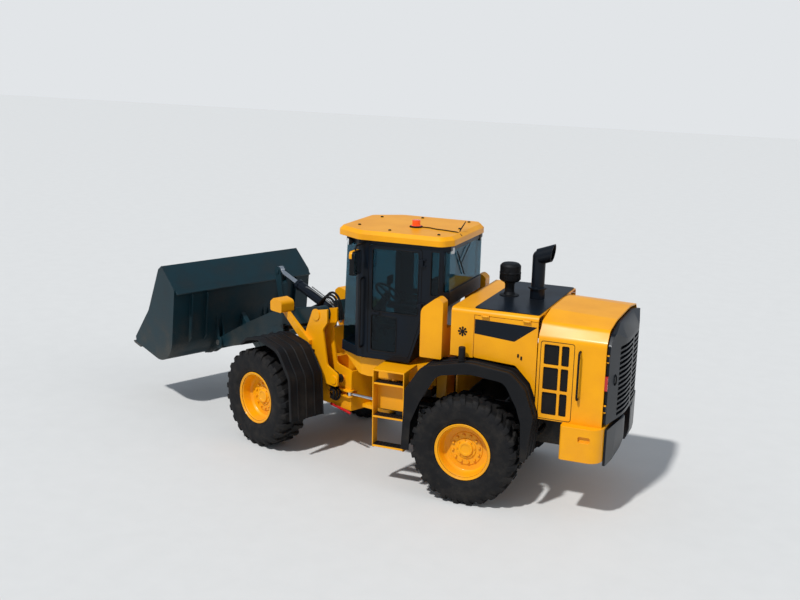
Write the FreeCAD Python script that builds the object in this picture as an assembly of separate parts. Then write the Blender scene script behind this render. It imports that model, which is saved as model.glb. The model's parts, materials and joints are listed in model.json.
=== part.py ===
import FreeCAD, Part
import math
import os

# An articulated wheel loader of about 11 tonnes, in millimetres. X runs forward on the rear frame, Y to the left
# and Z up. The rear half is drawn with the articulation axis at X 0, Y 0. The front half is drawn straight ahead
# of that axis, and is turned by STEER_DEG when it is placed. The lift arms are drawn along their own line.

Vector = FreeCAD.Vector
UP = Vector(0, 0, 1)
LEFT = Vector(0, 1, 0)
AHEAD = Vector(1, 0, 0)

# Place of the articulation axis from the origin, which is under the middle of the parked machine
PIVOT_X = -625.0
PIVOT_Y = 890.0
# Pose as parked: front half turned to the right, arms part raised, bucket rolled back
STEER_DEG = -24.2
BOOM_DEG = -21.0
BUCKET_DEG = 12.0

# Running clearance of a pin or rod in its bore, gap between seated pieces, and side gap of an eye in its fork
RUN_FIT = 0.05
SEAT_GAP = 0.3
EYE_GAP = 2.0

# Wheels
HALF_WHEELBASE = 1450.0
HALF_TREAD = 935.0
TYRE_RADIUS = 675.0
TYRE_WIDTH = 445.0
LUG_HEIGHT = 30.0
LUG_WIDTH = 64.0
LUG_SKEW_DEG = 18.0
LUG_SHIFT_DEG = 3.3
LUGS_PER_SIDE = 25
BEAD_RADIUS = 317.5
FLANGE_RADIUS = 355.6
RIM_WIDTH = 380.0
FLANGE_THICK = 12.0
RIM_WALL = 12.0
DISC_INSET = 165.0
DISC_THICK = 18.0
HUB_RADIUS = 150.0
HUB_REACH = 150.0
HUB_CAP = 45.0
SPINDLE_RADIUS = 75.0
SPINDLE_DEPTH = 80.0
AXLE_RADIUS = 115.0
DIFF_RADIUS = 225.0
DIFF_HALF = 170.0
BRAKE_RADIUS = 170.0
BRAKE_GAP = 8.0
TRUNNION_RADIUS = 70.0

# Articulation: two pins, each through a rear fork and the front frame's single plate
PIVOT_PIN_RADIUS = 40.0
PIVOT_EAR_RADIUS = 110.0
PIVOT_EAR_THICK = 30.0
PIVOT_PLATE_THICK = 50.0
PIVOT_PLATE_GAP = 5.0
PIVOT_HEIGHTS = (660.0, 1120.0)

# Rear frame
NECK_HALF = 170.0
NECK_FRONT = -190.0
NECK_WALL = 25.0
REAR_WALL_X = -850.0
REAR_END_X = -2600.0
REAR_PLATE_Y = 385.0
FRAME_PLATE = 30.0
REAR_BOTTOM = 640.0
REAR_TOP = 1150.0
OUTRIGGER_TOP_Z = 1190.0

# Front frame: two towers of two plates, with the arm's foot and the lift cylinder between them
TOWER_INNER_Y = 350.0
TOWER_OUTER_Y = 520.0
TOWER_PLATE = 25.0
ARM_Y = 435.0
ARM_THICK = 50.0
FRONT_WALL_X = 330.0
NOSE_X = 1800.0
FRONT_BOTTOM = 620.0
FRONT_AXLE_SEAT = 800.0

# Lift arms, from the foot pin to the bucket's hinge
FOOT_X = 880.0
FOOT_Z = 1870.0
ARM_LENGTH = 2540.0
FOOT_BOSS_RADIUS = 105.0
PIN_RADIUS = 35.0
FOOT_PIN_RADIUS = 45.0
HINGE_PIN_RADIUS = 40.0
TIP_BOSS_RADIUS = 70.0
FORK_HALF = 53.0
CROSS_TUBE_ALONG = 1165.0
CROSS_TUBE_RADIUS = 90.0

# Pins of the bucket linkage at rest, straight ahead: (forward, up)
CRANK_PIVOT = (2180.0, 1380.0)
CRANK_TOP = (2360.0, 2160.0)
CRANK_FOOT = (2700.0, 800.0)
TILT_BASE = (920.0, 1720.0)
CRANK_THICK = 74.0
CRANK_EYE_RADIUS = 85.0
LINK_PLATE = 22.0
LINK_HALF = 50.0
# Pin of the link on the bucket, in the bucket's own frame
BUCKET_LUG = (-60.0, 200.0)
LINK_PIN_RADIUS = 30.0

# Tilt cylinder
TILT_BARREL_RADIUS = 68.0
TILT_ROD_RADIUS = 36.0
TILT_BARREL_LENGTH = 1060.0
TILT_ROD_LENGTH = 620.0
TILT_EYE_RADIUS = 62.0
TILT_EYE_WIDTH = 70.0

# Lift cylinders
LIFT_BASE = (500.0, 1050.0)
LIFT_LUG_ALONG = 985.0
LIFT_LUG_ABOVE = -190.0
LIFT_BARREL_RADIUS = 62.0
LIFT_ROD_RADIUS = 32.0
LIFT_BARREL_LENGTH = 945.0
LIFT_ROD_LENGTH = 1005.0
LIFT_EYE_RADIUS = 58.0
LIFT_EYE_WIDTH = 66.0

# Steering cylinders: base pin on the rear frame, rod pin on the front frame, and their height
STEER_BASE = (-700.0, 400.0)
STEER_ROD_PIN = (360.0, 360.0)
STEER_HEIGHT = 860.0
STEER_BARREL_RADIUS = 42.0
STEER_ROD_RADIUS = 20.0
STEER_BARREL_LENGTH = 640.0
STEER_ROD_LENGTH = 700.0
STEER_EYE_RADIUS = 40.0
STEER_EYE_WIDTH = 50.0
STEER_PIN_RADIUS = 22.0

# Bucket, in its own frame: hinge at the origin, floor level
BUCKET_WIDTH = 2500.0
BUCKET_PLATE = 20.0
BUCKET_SIDE_PLATE = 22.0
BUCKET_FLOOR_Z = -300.0
BUCKET_LIP_X = 1030.0
EDGE_LENGTH = 200.0
EDGE_THICK = 32.0

# Cab
CAB_HALF_WIDTH = 700.0
CAB_REAR_X = -1030.0
CAB_PILLAR_X = 150.0
CAB_NOSE_X = 470.0
CAB_NOSE_HALF = 470.0
CAB_FLOOR_Z = 1560.0
ROOF_TOP_Z = 3185.0
ROOF_THICK = 115.0
CAB_EAVES_Z = ROOF_TOP_Z - ROOF_THICK
CAB_WALL = 45.0
GLASS_THICK = 8.0
CAB_DOOR_HINGE = (-706.0, CAB_HALF_WIDTH + 20.0)
# Heights of the cab's door hinges and panes, as shares of the way from its floor to its eaves
CAB_DOOR_KNUCKLES = (0.49, 0.854)
DOOR_SHARES = (0.04, 0.371, 0.9636)
LOWER_PANE_SHARES = (0.0695, 0.374)
UPPER_PANE_SHARES = (0.407, 0.937)
QUARTER_PANE_SHARES = (0.589, 0.9536)
SCREEN_SHARES = (0.0795, 0.9536)
REAR_SCREEN_SHARES = (0.6225, 0.957)
WAIST_SHARE = 0.51
# Door hinges: pin, sleeve and half the sleeve's length
KNUCKLE_PIN = 7.0
KNUCKLE_RADIUS = 14.0
KNUCKLE_HALF = 32.0
DECK_TOP_Z = 1530.0
DECK_BOTTOM_Z = 1290.0
LADDER_LOW_Z = 500.0
LADDER_TREADS = (520.0, 905.0, 1335.0)

# Bonnet
HOOD_HALF = 900.0
HOOD_BOTTOM_Z = 1170.0
HOOD_TOP_Z = 2400.0
HOOD_SPLIT_X = -2250.0
HOOD_REAR_X = -3060.0
HOOD_FRONT_X = -1170.0
HOOD_SKIN = 20.0
HOOD_FALL = 42.0
ENGINE_DOOR_HINGE = (HOOD_HALF + 18.0, HOOD_TOP_Z - 67.0)
ENGINE_DOOR_KNUCKLES = (-1600.0, -2110.0)
GRILLE_HINGE = (HOOD_REAR_X - 20.0, HOOD_HALF - 16.0)
GRILLE_KNUCKLES = (1400.0, 2000.0)
DOOR_GAP = 6.0
ENGINE_DOOR_FRONT_X = -1466.0
EXHAUST_RADIUS = 82.0
ENGINE_DOOR_TOP_Z = HOOD_TOP_Z - 70.0
VENT_ROWS = ((1235.0, 1510.0), (1540.0, 1815.0), (1845.0, 2090.0))
VENT_COLUMNS = ((-2510.0, -2330.0), (-2630.0, -2540.0))
GRILLE_SKIN = 28.0
GRILLE_SLOTS = 14
GRILLE_PITCH = 62.0
GRILLE_LOW_Z = 1235.0
GRILLE_HALF = 560.0
GRILLE_RIB = 60.0
GRILLE_REAR_X = -3200.0

# Counterweight
WEIGHT_HALF = 1030.0
WEIGHT_BOTTOM_Z = 760.0
WEIGHT_TOP_Z = 1169.7
TOW_BORE = (-3010.0, 0.0)
TOW_BORE_RADIUS = 26.0

# Fenders
FENDER_OUTER_Y = 1120.0
FENDER_INNER_Y = 660.0
FENDER_THICK = 25.0
FENDER_LIP = 18.0
FRONT_FENDER_INNER_Y = 600.0
FRONT_FENDER_OUTER_Y = 1160.0


def box(x0, x1, y0, y1, z0, z1):
    return Part.makeBox(x1 - x0, y1 - y0, z1 - z0, Vector(x0, y0, z0))


def rod(start, end, radius):
    """A round bar from one point to another."""
    run = end - start
    return Part.makeCylinder(radius, run.Length, start, run)


def fused(*shapes):
    """One solid from pieces that touch or cross, with no seams left in flat faces."""
    return shapes[0].multiFuse(list(shapes[1:])).removeSplitter()


def cut(shape, *tools):
    for tool in tools:
        shape = shape.cut(tool)
    return shape


def mirrored(shape):
    """The same piece on the other side of the machine's middle plane."""
    return shape.mirror(Vector(0, 0, 0), LEFT)


def both(shape):
    return [shape, mirrored(shape)]


def turned(shape, degrees, centre=Vector(0, 0, 0), axis=UP):
    copy = shape.copy()
    copy.rotate(centre, axis, degrees)
    return copy


def moved(shape, x=0.0, y=0.0, z=0.0):
    copy = shape.copy()
    copy.translate(Vector(x, y, z))
    return copy


def on_plane(plane, u, v, w):
    """A point of a drawing on the plane xz, xy or yz, at depth w."""
    return {"xz": Vector(u, w, v), "xy": Vector(u, v, w), "yz": Vector(w, u, v)}[plane]


def loop(points, plane, w):
    """A closed wire through (u, v) or (u, v, corner radius)."""
    corners = []
    count = len(points)
    for i, point in enumerate(points):
        here = on_plane(plane, point[0], point[1], w)
        radius = point[2] if len(point) > 2 else 0.0
        if not radius:
            corners.append((here, None, here))
            continue
        before = points[i - 1]
        after = points[(i + 1) % count]
        back = (on_plane(plane, before[0], before[1], w) - here).normalize()
        ahead = (on_plane(plane, after[0], after[1], w) - here).normalize()
        half = back.getAngle(ahead) / 2
        run = radius / math.tan(half)
        middle = (back + ahead).normalize() * (radius / math.sin(half) - radius)
        corners.append((here + back * run, here + middle, here + ahead * run))
    edges = []
    for i, (start, middle, end) in enumerate(corners):
        if middle is not None:
            edges.append(Part.Arc(start, middle, end).toShape())
        following = corners[(i + 1) % count][0]
        if (following - end).Length > 1e-6:
            edges.append(Part.LineSegment(end, following).toShape())
    return Part.Wire(edges)


def slab(points, plane, w0, w1):
    """A plate of the given outline, from depth w0 to w1."""
    face = Part.Face(loop(points, plane, w0))
    return face.extrude(on_plane(plane, 0, 0, w1 - w0))


def spun_y(points):
    """A round piece about the Y axis from its (radius, y) section."""
    face = Part.Face(loop(points, "xy", 0.0))
    return face.revolve(Vector(0, 0, 0), LEFT, 360)


def spun_z(points):
    """A round piece about the Z axis from its (radius, z) section."""
    face = Part.Face(loop(points, "xz", 0.0))
    return face.revolve(Vector(0, 0, 0), UP, 360)


def disc_y(x, z, radius, y0, y1):
    return Part.makeCylinder(radius, y1 - y0, Vector(x, y0, z), LEFT)


def pipe(points, radius, bend):
    """A round bar along straight runs joined by arcs of one bend radius."""
    spots = [Vector(*p) for p in points]
    edges = []
    start = spots[0]
    for i in range(1, len(spots) - 1):
        back = (spots[i - 1] - spots[i]).normalize()
        ahead = (spots[i + 1] - spots[i]).normalize()
        half = back.getAngle(ahead) / 2
        run = bend / math.tan(half)
        middle = spots[i] + (back + ahead).normalize() * (bend / math.sin(half) - bend)
        edges.append(Part.LineSegment(start, spots[i] + back * run).toShape())
        edges.append(Part.Arc(spots[i] + back * run, middle, spots[i] + ahead * run).toShape())
        start = spots[i] + ahead * run
    edges.append(Part.LineSegment(start, spots[-1]).toShape())
    path = Part.Wire(edges)
    ring = Part.Wire([Part.makeCircle(radius, spots[0], spots[1] - spots[0])])
    return path.makePipeShell([ring], True, True)


def foot_point(along, above):
    """A place on the lift arm at rest, straight ahead: (forward, up)."""
    angle = math.radians(BOOM_DEG)
    x = FOOT_X + along * math.cos(angle) - above * math.sin(angle)
    z = FOOT_Z + along * math.sin(angle) + above * math.cos(angle)
    return x, z


def on_arm(shape):
    """Takes a piece drawn with the arm along X and its foot pin at the origin to its place at rest."""
    shape = turned(shape, -BOOM_DEG, axis=LEFT)
    return moved(shape, FOOT_X, 0, FOOT_Z)


def between(shape, start, end):
    """Takes a piece drawn along X from the origin to a line from one pin to another, both (forward, up)."""
    angle = math.degrees(math.atan2(end[1] - start[1], end[0] - start[0]))
    shape = turned(shape, -angle, axis=LEFT)
    return moved(shape, start[0], 0, start[1])


def distance(start, end):
    return math.hypot(end[0] - start[0], end[1] - start[1])


def front_point(x, y, z):
    """A place on the straight front half, turned to the parked pose."""
    angle = math.radians(STEER_DEG)
    return Vector(
        PIVOT_X + x * math.cos(angle) - y * math.sin(angle),
        PIVOT_Y + x * math.sin(angle) + y * math.cos(angle),
        z,
    )


def rear_point(x, y, z):
    return Vector(PIVOT_X + x, PIVOT_Y + y, z)


def place_rear(shape):
    return moved(shape, PIVOT_X, PIVOT_Y)


def place_front(shape):
    return moved(turned(shape, STEER_DEG), PIVOT_X, PIVOT_Y)


def faceted_ring(section, count):
    """A closed (radius, y) section carried round Y in flat facets, the first centred straight down."""
    step = 2 * math.pi / count

    def corner(i, j):
        radius, y = section[i % len(section)]
        angle = (j - 0.5) * step
        return Vector(radius * math.sin(angle), y, -radius * math.cos(angle))

    faces = []
    for j in range(count):
        for i in range(len(section)):
            spots = [corner(i, j), corner(i + 1, j), corner(i + 1, j + 1), corner(i, j + 1)]
            faces.append(Part.Face(Part.makePolygon(spots + spots[:1])))
    solid = Part.makeSolid(Part.makeShell(faces))
    if solid.Volume < 0:
        solid.reverse()
    return solid


def tyre():
    """A carcass in flat facets with two staggered rows of slanted bars. The outer side is +Y."""
    half = TYRE_WIDTH / 2
    bead = RIM_WIDTH / 2 - FLANGE_THICK - SEAT_GAP
    # Radii are to the facets' corners, so that their flats reach the sizes named above
    flat = math.cos(math.pi / LUGS_PER_SIDE)
    crown = (TYRE_RADIUS - LUG_HEIGHT) / flat
    side = [
        ((BEAD_RADIUS + SEAT_GAP) / flat, bead),
        ((FLANGE_RADIUS + 4) / flat, bead),
        (crown - 60, half),
        (crown, half - 60),
    ]
    carcass = faceted_ring(side + [(radius, -y) for radius, y in reversed(side)], LUGS_PER_SIDE)
    # Each bar's top is a flat plane whose far corners lie on the tyre's radius
    reach = (half - 75) * math.tan(math.radians(LUG_SKEW_DEG)) / 2 + LUG_WIDTH / 2
    top = math.sqrt(TYRE_RADIUS**2 - reach**2)
    section = [(crown - 40, 5), (top, 5), (top, half - 75), (crown - 66, half - 2)]
    bar = turned(slab(section, "xy", -LUG_WIDTH / 2, LUG_WIDTH / 2), LUG_SKEW_DEG, axis=AHEAD)
    bar = turned(bar, 90 + LUG_SHIFT_DEG, axis=LEFT)
    pitch = 360.0 / LUGS_PER_SIDE
    bars = []
    for i in range(LUGS_PER_SIDE):
        bars.append(turned(bar, i * pitch, axis=LEFT))
        bars.append(turned(mirrored(bar), (i + 0.5) * pitch, axis=LEFT))
    return carcass.multiFuse(bars)


def rim():
    """A dished rim with its hub, a cap in the middle and a blind bore for the axle's spindle."""
    edge = RIM_WIDTH / 2
    inside = BEAD_RADIUS - RIM_WALL
    face = edge - DISC_INSET
    body = spun_y(
        [
            (0, -HUB_REACH),
            (HUB_RADIUS, -HUB_REACH),
            (HUB_RADIUS, face - DISC_THICK),
            (inside - 14, face - DISC_THICK),
            (inside - 14, face - 40),
            (inside, face - 60),
            (inside, -edge),
            (FLANGE_RADIUS, -edge),
            (FLANGE_RADIUS, -edge + FLANGE_THICK),
            (BEAD_RADIUS, -edge + FLANGE_THICK),
            (BEAD_RADIUS, edge - FLANGE_THICK),
            (FLANGE_RADIUS, edge - FLANGE_THICK),
            (FLANGE_RADIUS, edge),
            (inside + 8, edge),
            (inside - 6, face + 30),
            (inside - 26, face),
            (HUB_RADIUS + 10, face),
            (HUB_RADIUS - 12, face + 14),
            (HUB_RADIUS - 50, face + 14),
            (HUB_RADIUS - 60, face + HUB_CAP),
            (0, face + HUB_CAP),
        ]
    )
    bore = Part.makeCylinder(SPINDLE_RADIUS + RUN_FIT, SPINDLE_DEPTH, Vector(0, -HUB_REACH, 0), LEFT)
    return body.cut(bore)


def axle():
    """A beam with a bulging middle, brake flanges and the spindles that the hubs turn on."""
    flange = HALF_TREAD - HUB_REACH - BRAKE_GAP
    tip = HALF_TREAD - HUB_REACH + SPINDLE_DEPTH - 10
    half = [
        (0, tip),
        (SPINDLE_RADIUS, tip),
        (SPINDLE_RADIUS, flange),
        (BRAKE_RADIUS, flange),
        (BRAKE_RADIUS, flange - 70),
        (AXLE_RADIUS, flange - 130),
        (AXLE_RADIUS, DIFF_HALF + 150),
        (DIFF_RADIUS, DIFF_HALF, 40),
    ]
    return spun_y(half + [(p[0], -p[1], *p[2:]) for p in reversed(half)])


def rear_axle():
    """The axle on the trunnion that it swings about."""
    trunnion = Part.makeCylinder(TRUNNION_RADIUS, 640, Vector(-320, 0, 0), AHEAD)
    return fused(axle(), trunnion)


def front_axle():
    """The axle with the pads that bolt under the front frame's seats."""
    pad = box(-110, 110, 330, 420, 60, FRONT_AXLE_SEAT - TYRE_RADIUS - SEAT_GAP)
    return fused(axle(), *both(pad))


def wheel_places():
    """Name, half of the machine, and centre of each wheel before that half is turned."""
    return [
        ("front_left", "front", HALF_WHEELBASE, HALF_TREAD),
        ("front_right", "front", HALF_WHEELBASE, -HALF_TREAD),
        ("rear_left", "rear", -HALF_WHEELBASE, HALF_TREAD),
        ("rear_right", "rear", -HALF_WHEELBASE, -HALF_TREAD),
    ]


def wheels():
    nodes = {}
    shapes = {"tyre": tyre(), "rim": rim()}
    for name, half, x, y in wheel_places():
        place = place_front if half == "front" else place_rear
        for kind, shape in shapes.items():
            piece = shape if y > 0 else mirrored(shape)
            nodes[f"{kind}_{name}"] = place(moved(piece, x, y, TYRE_RADIUS))
    return nodes


def pivot_ear(reach, z0, z1, bore):
    """A plate with a round end on the articulation axis and a straight root at X reach."""
    sign = 1 if reach > 0 else -1
    root = box(min(0, reach), max(0, reach), -PIVOT_EAR_RADIUS, PIVOT_EAR_RADIUS, z0, z1)
    end = Part.makeCylinder(PIVOT_EAR_RADIUS, z1 - z0, Vector(0, 0, z0))
    flare = slab(
        [
            (sign * PIVOT_EAR_RADIUS, -PIVOT_EAR_RADIUS),
            (reach, -PIVOT_EAR_RADIUS - 50),
            (reach, PIVOT_EAR_RADIUS + 50),
            (sign * PIVOT_EAR_RADIUS, PIVOT_EAR_RADIUS),
        ],
        "xy",
        z0,
        z1,
    )
    hole = Part.makeCylinder(bore, z1 - z0, Vector(0, 0, z0))
    return fused(root, end, flare).cut(hole)


def rear_frame():
    """Two long side plates over the axle, cross walls, a boxed neck and the articulation's forks."""
    outline = [
        (REAR_WALL_X, REAR_BOTTOM),
        (-1150, REAR_BOTTOM, 60),
        (-1235, 880, 60),
        (-1665, 880, 60),
        (-1750, 700, 60),
        (REAR_END_X, 700),
        (REAR_END_X, REAR_TOP),
        (REAR_WALL_X, REAR_TOP),
    ]
    y = REAR_PLATE_Y
    t = FRAME_PLATE
    plates = both(slab(outline, "xz", y - t / 2, y + t / 2))
    walls = [
        box(REAR_WALL_X - t, REAR_WALL_X, -y - 60, y + 60, REAR_BOTTOM, REAR_TOP),
        box(-1200, -1170, -y, y, 930, REAR_TOP),
        box(-1760, -1730, -y, y, 900, REAR_TOP),
        box(REAR_END_X, REAR_END_X + t, -y, y, 700, REAR_TOP),
    ]
    trunnion = Part.makeCylinder(TRUNNION_RADIUS + SEAT_GAP, 1000, Vector(-1950, 0, TYRE_RADIUS), AHEAD)
    for x in (-1200, -1760):
        walls.append(box(x, x + t, -130, 130, 575, 960).cut(trunnion))
    neck = box(REAR_WALL_X, NECK_FRONT, -NECK_HALF, NECK_HALF, REAR_BOTTOM, REAR_TOP)
    hollow = box(
        REAR_WALL_X,
        NECK_FRONT,
        -NECK_HALF + NECK_WALL,
        NECK_HALF - NECK_WALL,
        REAR_BOTTOM + NECK_WALL,
        REAR_TOP - NECK_WALL,
    )
    sole = box(REAR_WALL_X, NECK_FRONT, -NECK_HALF, NECK_HALF, PIVOT_HEIGHTS[0] - 60, REAR_BOTTOM + 5)
    pieces = plates + walls + [neck.cut(hollow), sole]
    apart = PIVOT_PLATE_THICK / 2 + PIVOT_PLATE_GAP
    for height in PIVOT_HEIGHTS:
        for low in (height - apart - PIVOT_EAR_THICK, height + apart):
            ear = pivot_ear(NECK_FRONT - 20, low, low + PIVOT_EAR_THICK, PIVOT_PIN_RADIUS + RUN_FIT)
            pieces.append(ear)
    top_low = PIVOT_HEIGHTS[1] - apart - PIVOT_EAR_THICK
    pieces.append(box(REAR_WALL_X, NECK_FRONT, -NECK_HALF, NECK_HALF, top_low, REAR_TOP + 32))
    for x in (-800, -330):
        pieces.append(box(x, x + 100, -520, 520, REAR_TOP - 60, OUTRIGGER_TOP_Z))
    lugs = []
    for side in (1, -1):
        gap = STEER_EYE_WIDTH / 2 + EYE_GAP
        for low in (STEER_HEIGHT - gap - 20, STEER_HEIGHT + gap):
            x, y_pin = STEER_BASE[0], side * STEER_BASE[1]
            lug = fused(
                Part.makeCylinder(48, 20, Vector(x, y_pin, low)),
                box(REAR_WALL_X - 5, x, y_pin - 48, y_pin + 48, low, low + 20),
            )
            lugs.append(lug)
        foot = Vector(STEER_BASE[0], side * STEER_BASE[1], STEER_HEIGHT - gap - 32)
        lugs.append(Part.makeCylinder(22, 2 * gap + 64, foot))
    return fused(*pieces, *lugs)


def pivot_pins():
    apart = PIVOT_PLATE_THICK / 2 + PIVOT_PLATE_GAP + PIVOT_EAR_THICK
    pins = []
    for height in PIVOT_HEIGHTS:
        shaft = Part.makeCylinder(PIVOT_PIN_RADIUS, 2 * apart + 20, Vector(0, 0, height - apart - 10))
        head = Part.makeCylinder(PIVOT_PIN_RADIUS + 18, 16, Vector(0, 0, height + apart + SEAT_GAP))
        pins.append(fused(shaft, head))
    return Part.makeCompound(pins)


def front_frame():
    """Two towers of two plates on a boxed base, with the plate of each articulation joint behind."""
    top_rear = (651, 1986, 15)
    outer = [
        top_rear,
        (961, 1912, 70),
        (1085, 1634, 60),
        (1191, 1353, 60),
        (1060, 1130, 80),
        (720, 1060, 60),
        (640, 960, 40),
        (420, 960, 60),
        (420, 1140, 60),
        (640, 1220, 60),
        (738, 1690, 60),
        (648, 1803, 20),
    ]
    inner = [
        top_rear,
        (961, 1912, 70),
        (1085, 1634, 60),
        (1191, 1353, 80),
        (1330, 1180, 80),
        (1640, 1120, 60),
        (NOSE_X, 960, 60),
        (NOSE_X, 800, 40),
        (1300, FRONT_AXLE_SEAT, 20),
        (1230, FRONT_BOTTOM, 40),
        (FRONT_WALL_X, FRONT_BOTTOM),
        (FRONT_WALL_X, 1180, 40),
        (640, 1220, 60),
        (738, 1690, 60),
        (648, 1803, 20),
    ]
    half = TOWER_PLATE / 2
    y = TOWER_INNER_Y
    pieces = both(slab(outer, "xz", TOWER_OUTER_Y - half, TOWER_OUTER_Y + half))
    pieces += both(slab(inner, "xz", y - half, y + half))
    pieces += [
        box(FRONT_WALL_X, FRONT_WALL_X + 30, -y, y, FRONT_BOTTOM, 1170),
        box(FRONT_WALL_X, 1220, -y, y, FRONT_BOTTOM, FRONT_BOTTOM + 20),
        box(1200, 1225, -y, y, FRONT_BOTTOM, 1100),
        box(NOSE_X - 60, NOSE_X - 35, -y, y, 810, 1010),
        box(700, 760, -y, y, 1330, 1700),
    ]
    outside = TOWER_OUTER_Y + half
    pieces += both(disc_y(FOOT_X, FOOT_Z, FOOT_PIN_RADIUS, y - half, outside))
    pieces += both(disc_y(FOOT_X, FOOT_Z, 78, outside - 5, outside + 14))
    pieces += both(disc_y(*LIFT_BASE, PIN_RADIUS, y - half, outside))
    pieces += both(disc_y(*LIFT_BASE, 60, outside - 5, outside + 12))
    # Clevis of the tilt cylinder's base, on the cross plate between the towers
    gap = TILT_EYE_WIDTH / 2 + EYE_GAP
    x, z = TILT_BASE
    clevis = slab(
        [(740, 1560), (740, 1700), (x - 40, z + 62, 40), (x + 62, z + 62, 60), (x + 62, z - 62, 60)],
        "xz",
        gap,
        gap + 24,
    )
    bore = disc_y(x, z, PIN_RADIUS + RUN_FIT, -100, 100)
    pieces += [piece.cut(bore) for piece in both(clevis)]
    for height in PIVOT_HEIGHTS:
        low = height - PIVOT_PLATE_THICK / 2
        ear = pivot_ear(FRONT_WALL_X + 10, low, low + PIVOT_PLATE_THICK, PIVOT_PIN_RADIUS + RUN_FIT)
        pieces.append(ear)
    frame = fused(*pieces)
    # Pocket at each rear corner with two plates over and under the steering rod's eye
    gap = STEER_EYE_WIDTH / 2 + EYE_GAP
    x, y = STEER_ROD_PIN
    pocket = box(x - 120, x + 130, y - 110, y + 110, STEER_HEIGHT - gap, STEER_HEIGHT + gap)
    frame = cut(frame, *both(pocket))
    plates = []
    for low in (STEER_HEIGHT - gap - 22, STEER_HEIGHT + gap):
        plate = fused(
            Part.makeCylinder(55, 22, Vector(x, y, low)),
            box(x, x + 180, y - 55, y + 55, low, low + 22),
        )
        plates += both(plate)
    return fused(frame, *plates)


def arms():
    """Two humped lift arms with their bosses, joined by a cross tube that carries the crank's lugs."""
    outline = [
        (0, 100),
        (520, 175, 500),
        (1100, 215, 700),
        (1750, 165, 500),
        (ARM_LENGTH, 66),
        (ARM_LENGTH, -66),
        (2150, -115, 300),
        (1650, -150, 500),
        (1250, -70, 300),
        (850, -25, 300),
        (0, -100),
    ]
    y = ARM_Y
    inner_face = TOWER_INNER_Y + TOWER_PLATE / 2 + EYE_GAP
    outer_face = TOWER_OUTER_Y - TOWER_PLATE / 2 - EYE_GAP
    arm = fused(
        slab(outline, "xz", y - ARM_THICK / 2, y + ARM_THICK / 2),
        disc_y(0, 0, FOOT_BOSS_RADIUS, inner_face, outer_face),
        disc_y(ARM_LENGTH, 0, TIP_BOSS_RADIUS, y - LIFT_EYE_WIDTH / 2, y + LIFT_EYE_WIDTH / 2),
    )
    # Fork under the arm for the lift cylinder's rod, with its pin's head outside each cheek
    u, v = LIFT_LUG_ALONG, LIFT_LUG_ABOVE
    fork = slab(
        [(u - 150, 0), (u + 150, 0), (u + 72, v - 72, 72), (u - 72, v - 72, 72)],
        "xz",
        y - FORK_HALF,
        y + FORK_HALF,
    )
    slot = box(u - 200, u + 200, y - 35, y + 35, v - 100, -32)
    fork = fused(
        fork.cut(slot),
        disc_y(u, v, 42, y - FORK_HALF - 8, y - FORK_HALF),
        disc_y(u, v, 42, y + FORK_HALF, y + FORK_HALF + 8),
    )
    arm = fused(arm, fork)
    arm = cut(
        arm,
        disc_y(0, 0, FOOT_PIN_RADIUS + RUN_FIT, 0, 1000),
        disc_y(ARM_LENGTH, 0, HINGE_PIN_RADIUS + RUN_FIT, 0, 1000),
    )
    tube = disc_y(CROSS_TUBE_ALONG, 0, CROSS_TUBE_RADIUS, -y, y)
    tube = tube.cut(disc_y(CROSS_TUBE_ALONG, 0, CROSS_TUBE_RADIUS - 16, -y + 30, y - 30))
    pivot_u, pivot_v = crank_pivot_on_arm()
    low = CRANK_THICK / 2 + EYE_GAP
    lug = slab(
        [
            (CROSS_TUBE_ALONG, 85),
            (pivot_u + CRANK_EYE_RADIUS, pivot_v + CRANK_EYE_RADIUS, CRANK_EYE_RADIUS - 1),
            (pivot_u + CRANK_EYE_RADIUS, pivot_v - CRANK_EYE_RADIUS, CRANK_EYE_RADIUS - 1),
            (CROSS_TUBE_ALONG, -85),
        ],
        "xz",
        low,
        low + 30,
    )
    bore = disc_y(pivot_u, pivot_v, PIN_RADIUS + RUN_FIT, -200, 200)
    core = disc_y(CROSS_TUBE_ALONG, 0, CROSS_TUBE_RADIUS - 16, -y + 30, y - 30)
    lugs = [piece.cut(bore).cut(core) for piece in both(lug)]
    return on_arm(fused(arm, mirrored(arm), tube, *lugs))


def crank_pivot_on_arm():
    """The crank's pivot along and above the arm's line."""
    angle = math.radians(BOOM_DEG)
    x, z = CRANK_PIVOT[0] - FOOT_X, CRANK_PIVOT[1] - FOOT_Z
    return x * math.cos(angle) + z * math.sin(angle), -x * math.sin(angle) + z * math.cos(angle)


def bucket_point(x, z):
    """A place of the bucket's own frame at rest, straight ahead: (forward, up)."""
    hinge = foot_point(ARM_LENGTH, 0)
    angle = math.radians(BUCKET_DEG)
    return (
        hinge[0] + x * math.cos(angle) - z * math.sin(angle),
        hinge[1] + x * math.sin(angle) + z * math.cos(angle),
    )


def on_hinge(shape):
    """Takes a piece drawn in the bucket's own frame to its place at rest."""
    hinge = foot_point(ARM_LENGTH, 0)
    return moved(turned(shape, -BUCKET_DEG, axis=LEFT), hinge[0], 0, hinge[1])


def pin(point, radius, half, head=0.0):
    """A pin across the machine, with a wider head at each end when one is given."""
    shaft = disc_y(*point, radius, -half, half)
    if not head:
        return shaft
    ends = [disc_y(*point, radius + head, *sorted((side * half, side * (half + 12)))) for side in (1, -1)]
    return fused(shaft, *ends)


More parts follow.
